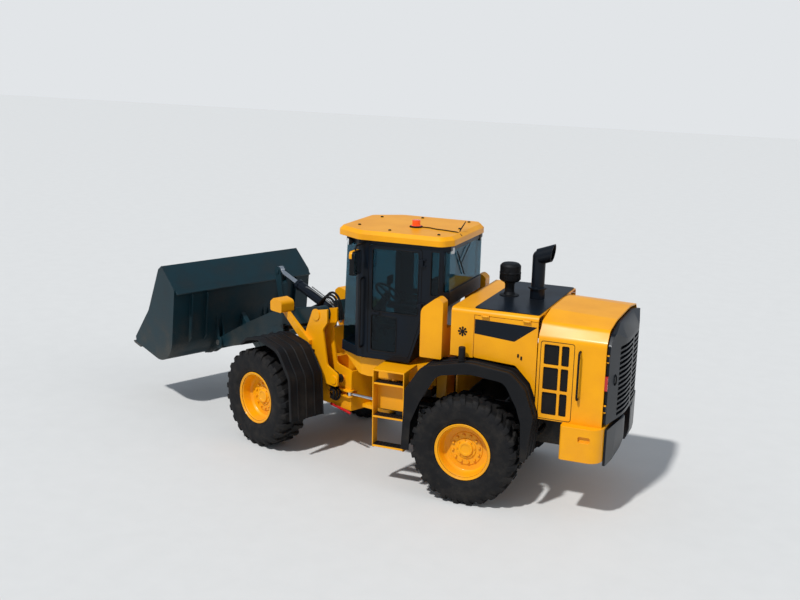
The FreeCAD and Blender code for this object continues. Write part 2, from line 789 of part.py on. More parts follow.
def crank():
    """The bellcrank: one thick plate on its pivot, with two cheeks at the top for the cylinder's eye."""
    pivot, top, foot = CRANK_PIVOT, CRANK_TOP, CRANK_FOOT
    half = CRANK_THICK / 2
    r = CRANK_EYE_RADIUS
    stop = 205.0
    lower = capsule(pivot, foot, r, 55.0, -half, half)
    reach = distance(pivot, top)
    end = (
        pivot[0] + (top[0] - pivot[0]) * (reach - stop) / reach,
        pivot[1] + (top[1] - pivot[1]) * (reach - stop) / reach,
    )
    upper = capsule(pivot, end, r, 62.0, -half, half)
    cheek_from = (
        pivot[0] + (top[0] - pivot[0]) * (reach - 410) / reach,
        pivot[1] + (top[1] - pivot[1]) * (reach - 410) / reach,
    )
    cheek = capsule(cheek_from, top, 58.0, 62.0, half, half + 22)
    boss = disc_y(*top, 46, half + 22, half + 34)
    web = fused(lower, upper, *both(cheek), *both(boss))
    return web.cut(disc_y(*pivot, PIN_RADIUS + RUN_FIT, -100, 100))


def capsule(start, end, start_radius, end_radius, y0, y1):
    """A flat bar with round ends from one pin to another, both (forward, up)."""
    run = distance(start, end)
    tilt = math.asin((start_radius - end_radius) / run)
    s, c = math.sin(tilt), math.cos(tilt)
    web = Part.Face(
        Part.makePolygon([
            Vector(start_radius * s, y0, start_radius * c),
            Vector(run + end_radius * s, y0, end_radius * c),
            Vector(run + end_radius * s, y0, -end_radius * c),
            Vector(start_radius * s, y0, -start_radius * c),
            Vector(start_radius * s, y0, start_radius * c),
        ])
    ).extrude(Vector(0, y1 - y0, 0))
    body = fused(web, disc_y(0, 0, start_radius, y0, y1), disc_y(run, 0, end_radius, y0, y1))
    return between(body, start, end)


def link():
    """Two plates from the crank's foot to the bucket's lug, one each side of both."""
    low = CRANK_THICK / 2 + EYE_GAP
    lug = bucket_point(*BUCKET_LUG)
    plate = capsule(CRANK_FOOT, lug, LINK_HALF, LINK_HALF, low, low + LINK_PLATE)
    head = disc_y(*CRANK_FOOT, 38, low + LINK_PLATE, low + LINK_PLATE + 12)
    plate = fused(plate, head).cut(disc_y(*lug, LINK_PIN_RADIUS + RUN_FIT, 0, 200))
    return Part.makeCompound(both(plate))


def link_pin():
    lug = bucket_point(*BUCKET_LUG)
    return pin(lug, LINK_PIN_RADIUS, CRANK_THICK / 2 + EYE_GAP + LINK_PLATE + 4)


def barrel(length, radius, bore, eye_radius, eye_width, eye_bore, rod_radius):
    """A cylinder's tube along X with its base eye at the origin and a gland at its open end."""
    start = eye_radius + 22
    tube = Part.makeCylinder(radius, length - start, Vector(start, 0, 0), AHEAD)
    gland = Part.makeCylinder(radius + 7, 55, Vector(length - 55, 0, 0), AHEAD)
    eye = disc_y(0, 0, eye_radius, -eye_width / 2, eye_width / 2)
    neck = box(0, start + 5, -eye_width / 2, eye_width / 2, -eye_radius * 0.7, eye_radius * 0.7)
    body = fused(tube, gland, eye, neck)
    body = body.cut(Part.makeCylinder(bore, length - 45 - start - 10, Vector(start + 10, 0, 0), AHEAD))
    body = body.cut(Part.makeCylinder(rod_radius + RUN_FIT, 60, Vector(length - 50, 0, 0), AHEAD))
    return body.cut(disc_y(0, 0, eye_bore + RUN_FIT, -100, 100))


def piston_rod(reach, length, radius, eye_radius, eye_width):
    """A rod along X whose eye is at X reach, as far from the base pin as at rest."""
    shaft = Part.makeCylinder(radius, length - eye_radius * 0.7, Vector(reach - length, 0, 0), AHEAD)
    eye = disc_y(reach, 0, eye_radius, -eye_width / 2, eye_width / 2)
    return fused(shaft, eye)


def tilt_barrel():
    body = barrel(
        TILT_BARREL_LENGTH,
        TILT_BARREL_RADIUS,
        TILT_BARREL_RADIUS - 14,
        TILT_EYE_RADIUS,
        TILT_EYE_WIDTH,
        PIN_RADIUS,
        TILT_ROD_RADIUS,
    )
    return between(body, TILT_BASE, CRANK_TOP)


def tilt_rod():
    body = piston_rod(
        distance(TILT_BASE, CRANK_TOP), TILT_ROD_LENGTH, TILT_ROD_RADIUS, TILT_EYE_RADIUS, TILT_EYE_WIDTH
    )
    return between(body, TILT_BASE, CRANK_TOP)


def lift_eye():
    return foot_point(LIFT_LUG_ALONG, LIFT_LUG_ABOVE)


def lift_barrels():
    body = barrel(
        LIFT_BARREL_LENGTH,
        LIFT_BARREL_RADIUS,
        LIFT_BARREL_RADIUS - 13,
        LIFT_EYE_RADIUS,
        LIFT_EYE_WIDTH,
        PIN_RADIUS,
        LIFT_ROD_RADIUS,
    )
    return Part.makeCompound(both(moved(between(body, LIFT_BASE, lift_eye()), y=ARM_Y)))


def lift_rods():
    body = piston_rod(
        distance(LIFT_BASE, lift_eye()), LIFT_ROD_LENGTH, LIFT_ROD_RADIUS, LIFT_EYE_RADIUS, LIFT_EYE_WIDTH
    )
    return Part.makeCompound(both(moved(between(body, LIFT_BASE, lift_eye()), y=ARM_Y)))


def steer_eye(side):
    """The rod's eye at rest, from the articulation axis."""
    angle = math.radians(STEER_DEG)
    x, y = STEER_ROD_PIN[0], side * STEER_ROD_PIN[1]
    return x * math.cos(angle) - y * math.sin(angle), x * math.sin(angle) + y * math.cos(angle)


def flat_between(shape, start, end):
    """Takes a cylinder drawn along X with its eyes' axes along Y to a level line, its eyes upright."""
    shape = turned(shape, 90, axis=AHEAD)
    shape = turned(shape, math.degrees(math.atan2(end[1] - start[1], end[0] - start[0])))
    return moved(shape, start[0], start[1], STEER_HEIGHT)


def steer_barrel(side):
    body = barrel(
        STEER_BARREL_LENGTH,
        STEER_BARREL_RADIUS,
        STEER_BARREL_RADIUS - 10,
        STEER_EYE_RADIUS,
        STEER_EYE_WIDTH,
        STEER_PIN_RADIUS,
        STEER_ROD_RADIUS,
    )
    return flat_between(body, (STEER_BASE[0], side * STEER_BASE[1]), steer_eye(side))


def steer_rod(side):
    start = (STEER_BASE[0], side * STEER_BASE[1])
    body = piston_rod(
        distance(start, steer_eye(side)), STEER_ROD_LENGTH, STEER_ROD_RADIUS, STEER_EYE_RADIUS, STEER_EYE_WIDTH
    )
    return flat_between(body, start, steer_eye(side))


def bucket():
    """A rolled shell with side plates, a spill guard, back ribs and the lugs of its hinge and link."""
    half = BUCKET_WIDTH / 2
    inside = half - BUCKET_SIDE_PLATE
    floor = BUCKET_FLOOR_Z
    t = BUCKET_PLATE
    cavity = [
        (1500, floor),
        (63, floor, 340),
        (196, 878, 70),
        (580, 1098),
        (1500, 1625),
    ]
    shell = [
        (BUCKET_LIP_X, floor - t),
        (42, floor - t, 360),
        (175, 889, 90),
        (570, 1115),
        (583, 1100),
        (BUCKET_LIP_X, floor),
    ]
    side = [
        (BUCKET_LIP_X, floor - t),
        (42, floor - t, 360),
        (175, 889, 90),
        (570, 1115),
        (640, 1040, 30),
        (790, 320, 260),
        (BUCKET_LIP_X + 40, floor + 60, 30),
    ]
    body = slab(shell, "xz", -inside, inside)
    hollow = slab(cavity, "xz", -half, half)
    sides = both(slab(side, "xz", inside, half))
    lug_pieces = []
    hinge = [
        (0, 95),
        (165, 520),
        (300, 520),
        (300, floor - 10),
        (150, floor + 60),
        (0, -95),
    ]
    for y in (ARM_Y - LIFT_EYE_WIDTH / 2 - EYE_GAP - 25, ARM_Y + LIFT_EYE_WIDTH / 2 + EYE_GAP):
        plate = fused(slab(hinge, "xz", y, y + 25), disc_y(0, 0, 95, y, y + 25))
        lug_pieces += both(plate.cut(disc_y(0, 0, HINGE_PIN_RADIUS + RUN_FIT, 0, 1000)))
    x, z = BUCKET_LUG
    low = CRANK_THICK / 2
    tongue = fused(
        slab([(x, z + 60), (200, z + 220), (300, z + 220), (300, z - 160), (120, z - 160), (x, z - 60)], "xz", -low, low),
        disc_y(x, z, 60, -low, low),
    ).cut(disc_y(x, z, LINK_PIN_RADIUS + RUN_FIT, -100, 100))
    ribs = []
    for y in (-960, -700, 700, 960):
        rib = slab([(80, 60), (30, 150, 40), (100, 800, 60), (250, 860), (250, 100)], "xz", y - 10, y + 10)
        ribs.append(rib)
    ledge = slab([(120, 830), (250, 890), (250, 930), (110, 850)], "xz", -inside, inside)
    outside = fused(body, *lug_pieces, tongue, *ribs, ledge).cut(hollow)
    return on_hinge(fused(outside, *sides))


def cutting_edge():
    """The bolted edge under the lip, ground to a bevel in front."""
    top = BUCKET_FLOOR_Z - BUCKET_PLATE - SEAT_GAP
    profile = [
        (BUCKET_LIP_X - EDGE_LENGTH + 80, top),
        (BUCKET_LIP_X - EDGE_LENGTH + 80, top - EDGE_THICK),
        (BUCKET_LIP_X + 60, top - EDGE_THICK),
        (BUCKET_LIP_X + 90, top - 14),
        (BUCKET_LIP_X + 70, top),
    ]
    return on_hinge(slab(profile, "xz", -BUCKET_WIDTH / 2, BUCKET_WIDTH / 2))


def hinge_pins():
    y0 = ARM_Y - LIFT_EYE_WIDTH / 2 - EYE_GAP - 35
    y1 = ARM_Y + LIFT_EYE_WIDTH / 2 + EYE_GAP + 35
    return Part.makeCompound(both(disc_y(*foot_point(ARM_LENGTH, 0), HINGE_PIN_RADIUS, y0, y1)))


def front_fenders():
    """A sheet over each front wheel, with an outer lip and a rear apron behind the tyre."""
    outline = [
        (1740, 1380),
        (1600, 1490, 140),
        (1330, 1545, 200),
        (910, 1470, 240),
        (650, 1130, 200),
        (615, 560),
    ]
    thick = FENDER_THICK
    inner = [
        (615 + thick, 560),
        (650 + thick, 1120, 180),
        (930, 1470 - thick - 4, 220),
        (1330, 1545 - thick, 180),
        (1592, 1490 - thick, 120),
        (1740 - thick, 1370),
    ]
    sheet = slab(outline + inner, "xz", FRONT_FENDER_INNER_Y, FRONT_FENDER_OUTER_Y)
    stay = box(900, 960, TOWER_OUTER_Y + TOWER_PLATE / 2 + SEAT_GAP, FRONT_FENDER_INNER_Y + 40, 1340, 1380)
    sheet = fused(sheet, stay, box(900, 960, FRONT_FENDER_INNER_Y, FRONT_FENDER_INNER_Y + 40, 1340, 1460))
    return Part.makeCompound(both(sheet))


def headlamps():
    """A lamp housing on a slanted square arm each side, ahead of the towers."""
    y = TOWER_OUTER_Y + TOWER_PLATE / 2 + SEAT_GAP
    arm = slab(
        [(960, 1440), (1040, 1400), (1560, 1790), (1560, 1850), (1500, 1850), (960, 1500)],
        "xz",
        y,
        y + 50,
    )
    outline = [(1430, 1800, 30), (1430, 1960, 60), (1600, 1990, 60), (1680, 1930, 30), (1680, 1800, 30)]
    lamp = slab(outline, "xz", y - 60, y + 160)
    return Part.makeCompound(both(fused(arm, lamp)))


def rear_fenders():
    """An arched sheet over each rear wheel with a flat outer lip that widens in front."""
    outer = [
        (-660, 585),
        (-690, 1350, 120),
        (-890, 1660, 160),
        (-1455, 1790, 600),
        (-1990, 1730, 160),
        (-2170, 1560, 120),
        (-2290, 1226, 120),
        (-2215, 680),
    ]
    t = FENDER_THICK
    under = [
        (-2215 + t, 680),
        (-2290 + t, 1226, 100),
        (-2170 + t, 1550, 100),
        (-1985, 1730 - t, 140),
        (-1455, 1790 - t, 600),
        (-905, 1660 - t - 5, 140),
        (-690 - t, 1345, 100),
        (-660 - t, 585),
    ]
    arch = [
        (-2165, 680),
        (-2150, 1150, 100),
        (-2090, 1330, 120),
        (-1930, 1615, 150),
        (-1500, 1660, 400),
        (-1090, 1590, 180),
        (-880, 1230, 200),
        (-765, 950, 100),
        (-750, 585),
    ]
    sheet = slab(outer + under, "xz", FENDER_INNER_Y, FENDER_OUTER_Y)
    lip = slab(outer + arch, "xz", FENDER_OUTER_Y - FENDER_LIP, FENDER_OUTER_Y)
    frame_side = REAR_PLATE_Y + FRAME_PLATE / 2 + SEAT_GAP
    front_stay = box(REAR_WALL_X - 26, -672, frame_side + 45, 700, 1040, 1080)
    rear_stay = box(-2280, -2235, frame_side, 700, 900, 940)
    return Part.makeCompound(both(fused(sheet, lip, front_stay, rear_stay)))


def outline_offset(points, plane, w, grow):
    """A flat face of the outline, grown or shrunk evenly."""
    face = Part.Face(loop(points, plane, w))
    if not grow:
        return face
    return face.makeOffset2D(grow, 0, False, False, False)


def plate_offset(points, plane, w0, w1, grow):
    return outline_offset(points, plane, w0, grow).extrude(on_plane(plane, 0, 0, w1 - w0))


def cab_z(share):
    """A height in the cab, by its share of the way from the floor to the eaves."""
    return CAB_FLOOR_Z + share * (CAB_EAVES_Z - CAB_FLOOR_Z)


def upright(x0, x1, shares, radius):
    """The outline of a round-cornered pane between two heights in the cab."""
    low, high = [cab_z(share) for share in shares]
    return [(x0, low, radius), (x0, high, radius), (x1, high, radius), (x1, low, radius)]


CAB_PLAN = [
    (CAB_REAR_X, -600),
    (-940, -CAB_HALF_WIDTH),
    (CAB_PILLAR_X, -CAB_HALF_WIDTH),
    (CAB_NOSE_X, -CAB_NOSE_HALF),
    (CAB_NOSE_X, CAB_NOSE_HALF),
    (CAB_PILLAR_X, CAB_HALF_WIDTH),
    (-940, CAB_HALF_WIDTH),
    (CAB_REAR_X, 600),
]
CAB_PROFILE = [
    (CAB_REAR_X, CAB_EAVES_Z),
    (400, CAB_EAVES_Z),
    (CAB_NOSE_X, CAB_FLOOR_Z),
    (-560, CAB_FLOOR_Z),
    (-735, cab_z(DOOR_SHARES[1])),
    (CAB_REAR_X, cab_z(WAIST_SHARE)),
]
DOOR_SILL, DOOR_WAIST, DOOR_HEAD = [cab_z(share) for share in DOOR_SHARES]
DOOR_OPENING = [
    (15, DOOR_SILL, 30),
    (15, DOOR_HEAD, 40),
    (-700, DOOR_HEAD, 40),
    (-700, DOOR_WAIST, 40),
    (-548, DOOR_SILL, 40),
]
UPPER_PANE = upright(-35, -655, UPPER_PANE_SHARES, 40)
LOWER_PANE = upright(-35, -380, LOWER_PANE_SHARES, 30)
QUARTER_PANE = upright(-815, -925, QUARTER_PANE_SHARES, 20)


def cab_body(inset):
    """The cab's closed form, shrunk by the inset."""
    plan = plate_offset(CAB_PLAN, "xy", CAB_FLOOR_Z - 100, CAB_EAVES_Z + 100, -inset)
    profile = plate_offset(CAB_PROFILE, "xz", -CAB_HALF_WIDTH - 100, CAB_HALF_WIDTH + 100, -inset)
    return plan.common(profile)


def screen_band(x0, x1, z0, z1, gap=0.0):
    reach = CAB_HALF_WIDTH + 100
    return box(x0 + gap, x1 - gap, -reach, reach, z0 + gap, z1 - gap)


MIRROR_X = 95.0
WINDSCREEN = (195, 600, *[cab_z(share) for share in SCREEN_SHARES])
REAR_SCREEN = (-1200, -968, *[cab_z(share) for share in REAR_SCREEN_SHARES])


def cab_frame():
    """The hollow cab with its openings cut: walls between a floor pan and a ceiling plate."""
    shell = cab_body(0).cut(cab_body(CAB_WALL))
    shell = cut(shell, screen_band(*WINDSCREEN), screen_band(*REAR_SCREEN))
    inner, outer = CAB_HALF_WIDTH - 100, CAB_HALF_WIDTH + 20
    shell = shell.cut(slab(DOOR_OPENING, "xz", inner, outer))
    shell = shell.cut(slab(UPPER_PANE, "xz", -outer, -inner))
    shell = shell.cut(slab(LOWER_PANE, "xz", -outer, -inner))
    quarter = slab(QUARTER_PANE, "xz", inner, outer)
    shell = cut(shell, *both(quarter))
    x, y = CAB_DOOR_HINGE
    strap = (x - 40, x, CAB_HALF_WIDTH - 4, y + 6)
    shell = fused(shell, *[z_knuckle(x, y, cab_z(share), True, strap) for share in CAB_DOOR_KNUCKLES])
    floor_top, ceiling_low = CAB_FLOOR_Z + CAB_WALL, CAB_EAVES_Z - CAB_WALL
    layers = [
        (CAB_FLOOR_Z, floor_top),
        (floor_top + SEAT_GAP, ceiling_low - SEAT_GAP),
        (ceiling_low, CAB_EAVES_Z),
    ]
    return Part.makeCompound([shell.common(box(CAB_REAR_X, CAB_NOSE_X, -2000, 2000, *layer)) for layer in layers])


def cab_glass():
    """The wrapped front and rear screens and the fixed side panes."""
    sheet = cab_body(10).cut(cab_body(10 + GLASS_THICK))
    front = sheet.common(screen_band(*WINDSCREEN, SEAT_GAP))
    rear = sheet.common(screen_band(*REAR_SCREEN, SEAT_GAP))
    y0 = CAB_HALF_WIDTH - 18
    panes = both(plate_offset(QUARTER_PANE, "xz", y0, y0 + GLASS_THICK, -SEAT_GAP))
    for pane in (UPPER_PANE, LOWER_PANE):
        panes.append(plate_offset(pane, "xz", -y0 - GLASS_THICK, -y0, -SEAT_GAP))
    return Part.makeCompound([front, rear] + panes)


def cab_door():
    leaf = plate_offset(DOOR_OPENING, "xz", CAB_HALF_WIDTH - 40, CAB_HALF_WIDTH, -DOOR_GAP)
    depth = (CAB_HALF_WIDTH - 100, CAB_HALF_WIDTH + 20)
    windows = [slab(pane, "xz", *depth) for pane in (UPPER_PANE, LOWER_PANE)]
    grip = (cab_z(LOWER_PANE_SHARES[1]) + cab_z(UPPER_PANE_SHARES[0])) / 2
    handle = box(-150, -50, CAB_HALF_WIDTH - 2, CAB_HALF_WIDTH + 28, grip - 13, grip + 13)
    x, y = CAB_DOOR_HINGE
    heights = [cab_z(share) for share in CAB_DOOR_KNUCKLES]
    hinges = [z_knuckle(x, y, z, False, (x, x + 50, y - 12, y)) for z in heights]
    hinges += [box(x + 16, x + 50, CAB_HALF_WIDTH - 4, y - 4, z - 30, z + 30) for z in heights]
    return fused(cut(leaf, *windows), handle, *hinges)


def cab_door_glass():
    y0 = CAB_HALF_WIDTH - 18
    panes = [
        plate_offset(pane, "xz", y0, y0 + GLASS_THICK, -SEAT_GAP) for pane in (UPPER_PANE, LOWER_PANE)
    ]
    return Part.makeCompound(panes)


def cab_roof():
    """A cap with a rounded plan and a bevelled top."""
    side = CAB_HALF_WIDTH + 45
    plan = [
        (-1060, -560, 60),
        (-960, -side + 10, 120),
        (140, -side, 160),
        (530, -500, 120),
        (530, 500, 120),
        (140, side, 160),
        (-960, side - 10, 120),
        (-1060, 560, 60),
    ]
    low = CAB_EAVES_Z + SEAT_GAP
    brim = slab(plan, "xy", low, low + 70)
    top_face = outline_offset(plan, "xy", ROOF_TOP_Z, -45)
    base_face = outline_offset(plan, "xy", low + 70, 0)
    crown = Part.makeLoft([base_face.OuterWire, top_face.OuterWire], True, True)
    return fused(brim, crown)


def cab_deck():
    """The platform under the cab, on four mounts, tapered in front as the cab is."""
    profile = [
        (454, DECK_TOP_Z),
        (164, 1310),
        (35, DECK_BOTTOM_Z),
        (-900, DECK_BOTTOM_Z),
        (-900, DECK_TOP_Z),
    ]
    plan = [
        (-900, -620),
        (120, -620),
        (454, -440),
        (454, 440),
        (120, 620),
        (-900, 620),
    ]
    deck = slab(profile, "xz", -700, 700).common(slab(plan, "xy", 1200, 1600))
    hollow = box(-860, 0, -590, 590, DECK_BOTTOM_Z - 10, DECK_TOP_Z - 30)
    deck = deck.cut(hollow)
    mounts = []
    foot_z = OUTRIGGER_TOP_Z + SEAT_GAP
    for x in (-750, -280):
        for y in (-450, 450):
            mounts.append(Part.makeCylinder(48, DECK_TOP_Z - 15 - foot_z, Vector(x, y, foot_z)))
    rise = CAB_FLOOR_Z - DECK_TOP_Z - SEAT_GAP
    feet = [
        box(x - 60, x + 60, y - 60, y + 60, DECK_TOP_Z - 5, DECK_TOP_Z + rise)
        for x in (-480, 250)
        for y in (-400, 400)
    ]
    return fused(deck, *mounts, *feet)


def seat():
    base = box(-440, -140, -150, 150, CAB_FLOOR_Z + CAB_WALL + SEAT_GAP, 1880)
    cushion = slab([(-520, 1870, 40), (-520, 1990, 50), (-20, 2010, 50), (-20, 1890, 40)], "xz", -250, 250)
    top = CAB_EAVES_Z - 510
    back = slab([(-520, 1900, 40), (-400, 1920, 40), (-500, top, 50), (-620, top, 50)], "xz", -240, 240)
    rests = both(box(-440, -80, 275, 335, 2150, 2200).fuse(box(-480, -420, 230, 335, 2130, 2200)))
    return fused(base, cushion, back, *rests)


def console():
    """Steering column, wheel and side console."""
    floor = CAB_FLOOR_Z + CAB_WALL + SEAT_GAP
    outline = [(180, floor), (330, floor), (300, 1900), (80, 2230), (20, 2200), (200, 1850)]
    column = slab(outline, "xz", -60, 60)
    ring = spun_z([(176, -8), (190, -14), (204, -8), (204, 8), (190, 14), (176, 8)])
    spokes = [box(-190, 190, -14, 14, -10, 10), Part.makeCylinder(45, 110, Vector(0, 0, -100))]
    wheel = turned(fused(ring, *spokes), -35, axis=LEFT)
    wheel = moved(wheel, 30, 0, 2250)
    panel = box(190, 330, -320, 320, 1880, 1990)
    return fused(column, wheel, panel)


def side_tanks():
    """A tank behind the cab on each side, with a round-topped panel outside and a leg on the frame."""
    panel = slab(
        [(-775, 1725, 20), (-775, 2330, 120), (-985, 2495, 60), (-1060, 2430, 40), (-1060, 1725, 20)],
        "xz",
        730,
        HOOD_HALF,
    )
    body = box(-1060, -790, 560, 740, 1725, 2080)
    leg = box(-1050, -920, 340, 640, REAR_TOP + SEAT_GAP, 1740)
    return Part.makeCompound(both(fused(panel, body, leg)))


def hood_mid():
    """The bonnet's middle: top, front sides and bulkheads, open where the side doors hang."""
    low = 1805.0
    section = [(-HOOD_HALF, low), (-HOOD_HALF, HOOD_TOP_Z, 60), (HOOD_HALF, HOOD_TOP_Z, 60), (HOOD_HALF, low)]
    s = HOOD_SKIN
    inside = [
        (-HOOD_HALF + s, low - 10),
        (-HOOD_HALF + s, HOOD_TOP_Z - s, 40),
        (HOOD_HALF - s, HOOD_TOP_Z - s, 40),
        (HOOD_HALF - s, low - 10),
    ]
    rear = HOOD_SPLIT_X + DOOR_GAP
    shell = slab(section, "yz", rear, HOOD_FRONT_X).cut(slab(inside, "yz", rear, HOOD_FRONT_X))
    head = ENGINE_DOOR_TOP_Z + DOOR_GAP
    opening = box(rear, ENGINE_DOOR_FRONT_X + DOOR_GAP, HOOD_HALF - 60, HOOD_HALF + 10, 1500, head)
    shell = cut(shell, *both(opening))
    walls = []
    for x in (HOOD_FRONT_X - s, rear):
        walls.append(box(x, x + s, -640, 640, REAR_TOP + SEAT_GAP, HOOD_TOP_Z - 5))
    walls[1] = walls[1].cut(box(rear - 1, rear + s + 1, -360, 360, 1000, 1790))
    hinges = [x_knuckle(x, *ENGINE_DOOR_HINGE, True) for x in ENGINE_DOOR_KNUCKLES]
    hinges += [mirrored(piece) for piece in hinges]
    upper = box(HOOD_FRONT_X - s, HOOD_FRONT_X, -HOOD_HALF + 5, HOOD_HALF - 5, low, HOOD_TOP_Z - 60)
    return fused(shell, *walls, upper, *hinges)


def x_knuckle(x, y, z, fixed):
    """One leaf of a hinge along X: the pin with its two ears, or the sleeve that turns on it."""
    if fixed:
        start = Vector(x - KNUCKLE_HALF - 14, y, z)
        pin_piece = Part.makeCylinder(KNUCKLE_PIN, 2 * KNUCKLE_HALF + 28, start, AHEAD)
        ears = []
        for x0 in (x - KNUCKLE_HALF - 14, x + KNUCKLE_HALF + 2):
            ears.append(Part.makeCylinder(KNUCKLE_RADIUS, 12, Vector(x0, y, z), AHEAD))
            ears.append(box(x0, x0 + 12, HOOD_HALF - 8, y, z + 6, z + KNUCKLE_RADIUS))
        return fused(pin_piece, *ears)
    sleeve = Part.makeCylinder(KNUCKLE_RADIUS, 2 * KNUCKLE_HALF, Vector(x - KNUCKLE_HALF, y, z), AHEAD)
    leaf = box(x - KNUCKLE_HALF, x + KNUCKLE_HALF, HOOD_HALF - 5, y, z - KNUCKLE_RADIUS, z - 8)
    bore = Part.makeCylinder(KNUCKLE_PIN + RUN_FIT, 2 * KNUCKLE_HALF, Vector(x - KNUCKLE_HALF, y, z), AHEAD)
    return fused(sleeve, leaf).cut(bore)


def z_knuckle(x, y, z, fixed, strap):
    """One leaf of an upright hinge, with the strap that joins it to its panel."""
    h = KNUCKLE_HALF
    if fixed:
        pin_piece = Part.makeCylinder(KNUCKLE_PIN, 2 * h + 28, Vector(x, y, z - h - 14))
        ears = []
        for z0 in (z - h - 14, z + h + 2):
            ears.append(Part.makeCylinder(KNUCKLE_RADIUS, 12, Vector(x, y, z0)))
            ears.append(box(*strap, z0, z0 + 12))
        return fused(pin_piece, *ears)
    sleeve = Part.makeCylinder(KNUCKLE_RADIUS, 2 * h, Vector(x, y, z - h))
    leaf = box(*strap, z - h, z + h)
    bore = Part.makeCylinder(KNUCKLE_PIN + RUN_FIT, 2 * h, Vector(x, y, z - h))
    return fused(sleeve, leaf).cut(bore)


def engine_door():
    """The left side door of the bonnet, with its lower edge clear of the fender."""
    outline = [
        (ENGINE_DOOR_FRONT_X, 1812, 20),
        (ENGINE_DOOR_FRONT_X, ENGINE_DOOR_TOP_Z),
        (HOOD_SPLIT_X + DOOR_GAP, ENGINE_DOOR_TOP_Z),
        (HOOD_SPLIT_X + DOOR_GAP, 1430),
        (-2180, 1590, 80),
        (-1990, 1780, 60),
    ]
    panel = slab(outline, "xz", HOOD_HALF - HOOD_SKIN, HOOD_HALF)
    return fused(panel, *[x_knuckle(x, *ENGINE_DOOR_HINGE, False) for x in ENGINE_DOOR_KNUCKLES])


def hood_section(inset, fall):
    """The rear bonnet's outline across, shrunk by the inset, with its crown lowered by the fall."""
    h = HOOD_HALF
    crown = HOOD_TOP_Z + 5 - fall
    return [
        (-h + inset, HOOD_BOTTOM_Z - (1 if inset else 0)),
        (-h + inset, 2160, 100),
        (-780 + inset * 0.7, crown - 75 + fall / 2 - inset * 0.7, 100),
        (-400, crown - inset, 200),
        (400, crown - inset, 200),
        (780 - inset * 0.7, crown - 75 + fall / 2 - inset * 0.7, 100),
        (h - inset, 2160, 100),
        (h - inset, HOOD_BOTTOM_Z - (1 if inset else 0)),
    ]


def rear_hood():
    """The arched rear shell with a panel of vents in each side."""
    front = HOOD_SPLIT_X - DOOR_GAP
    forms = []
    for inset in (0, HOOD_SKIN):
        ends = [(0, front), (HOOD_FALL, HOOD_REAR_X)]
        loops = [loop(hood_section(inset, fall), "yz", x) for fall, x in ends]
        forms.append(Part.makeLoft(loops, True, True))
    shell = forms[0].cut(forms[1])
    outline = [(front + 10, 1345), (front, 1345), (-2300, 1228), (-2300, 1160), (front + 10, 1160)]
    notch = slab(outline, "xz", -950, 950)
    shell = shell.cut(notch)
    for z0, z1 in VENT_ROWS:
        for x0, x1 in VENT_COLUMNS:
            outline = [(x0, z0, 18), (x0, z1, 18), (x1, z1, 18), (x1, z0, 18)]
            vent = slab(outline, "xz", HOOD_HALF - 60, HOOD_HALF + 10)
            shell = cut(shell, *both(vent))
    x, y = GRILLE_HINGE
    strap = (x, HOOD_REAR_X + 5, HOOD_HALF - HOOD_SKIN, y)
    hinges = [z_knuckle(x, y, z, True, strap) for z in GRILLE_KNUCKLES]
    return fused(shell, *hinges)


def vent_screens():
    """A dark screen behind each side's vents."""
    y1 = HOOD_HALF - HOOD_SKIN - SEAT_GAP
    screen = box(-2645, -2315, y1 - 8, y1, 1215, 2110)
    return Part.makeCompound(both(screen))


def grille_door():
    """A convex rear door with a sloped brow and rows of slots either side of a middle rib."""
    side = HOOD_HALF - 40
    outline = [
        (-side, 1195, 30),
        (-side, 2130, 90),
        (-750, 2262, 90),
        (-390, 2325, 180),
        (390, 2325, 180),
        (750, 2262, 90),
        (side, 2130, 90),
        (side, 1195, 30),
    ]
    front = HOOD_REAR_X - DOOR_GAP
    forms = []
    for inset in (0, GRILLE_SKIN):
        plan = [
            (front + 1, -side + inset),
            (front + 1, side - inset),
            (front - 30 + inset / 2, side - inset),
            (GRILLE_REAR_X + inset, 330, 1400),
            (GRILLE_REAR_X + inset, -330, 1400),
            (front - 30 + inset / 2, -side + inset),
        ]
        across = plate_offset(outline, "yz", GRILLE_REAR_X - 100, front + 100, -inset)
        brow = [
            (front + 1, 1100),
            (front + 1, 2345),
            (front - 20, 2345 - inset),
            (GRILLE_REAR_X + inset, 2120, 80),
            (GRILLE_REAR_X + inset, 1100),
        ]
        along = slab(brow, "xz", -side, side)
        forms.append(slab(plan, "xy", 1100, 2500).common(across).common(along))
    shape = forms[0].cut(forms[1]).common(box(GRILLE_REAR_X - 10, front, -side, side, 1100, 2500))
    for i in range(GRILLE_SLOTS):
        z = GRILLE_LOW_Z + i * GRILLE_PITCH
        for y0, y1 in ((-GRILLE_HALF, -GRILLE_RIB / 2), (GRILLE_RIB / 2, GRILLE_HALF)):
            shape = shape.cut(box(GRILLE_REAR_X - 100, front - 30, y0, y1, z, z + GRILLE_PITCH * 0.6))
    x, y = GRILLE_HINGE
    strap = (x - KNUCKLE_RADIUS, x, side - 10, y)
    return fused(shape, *[z_knuckle(x, y, z, False, strap) for z in GRILLE_KNUCKLES])


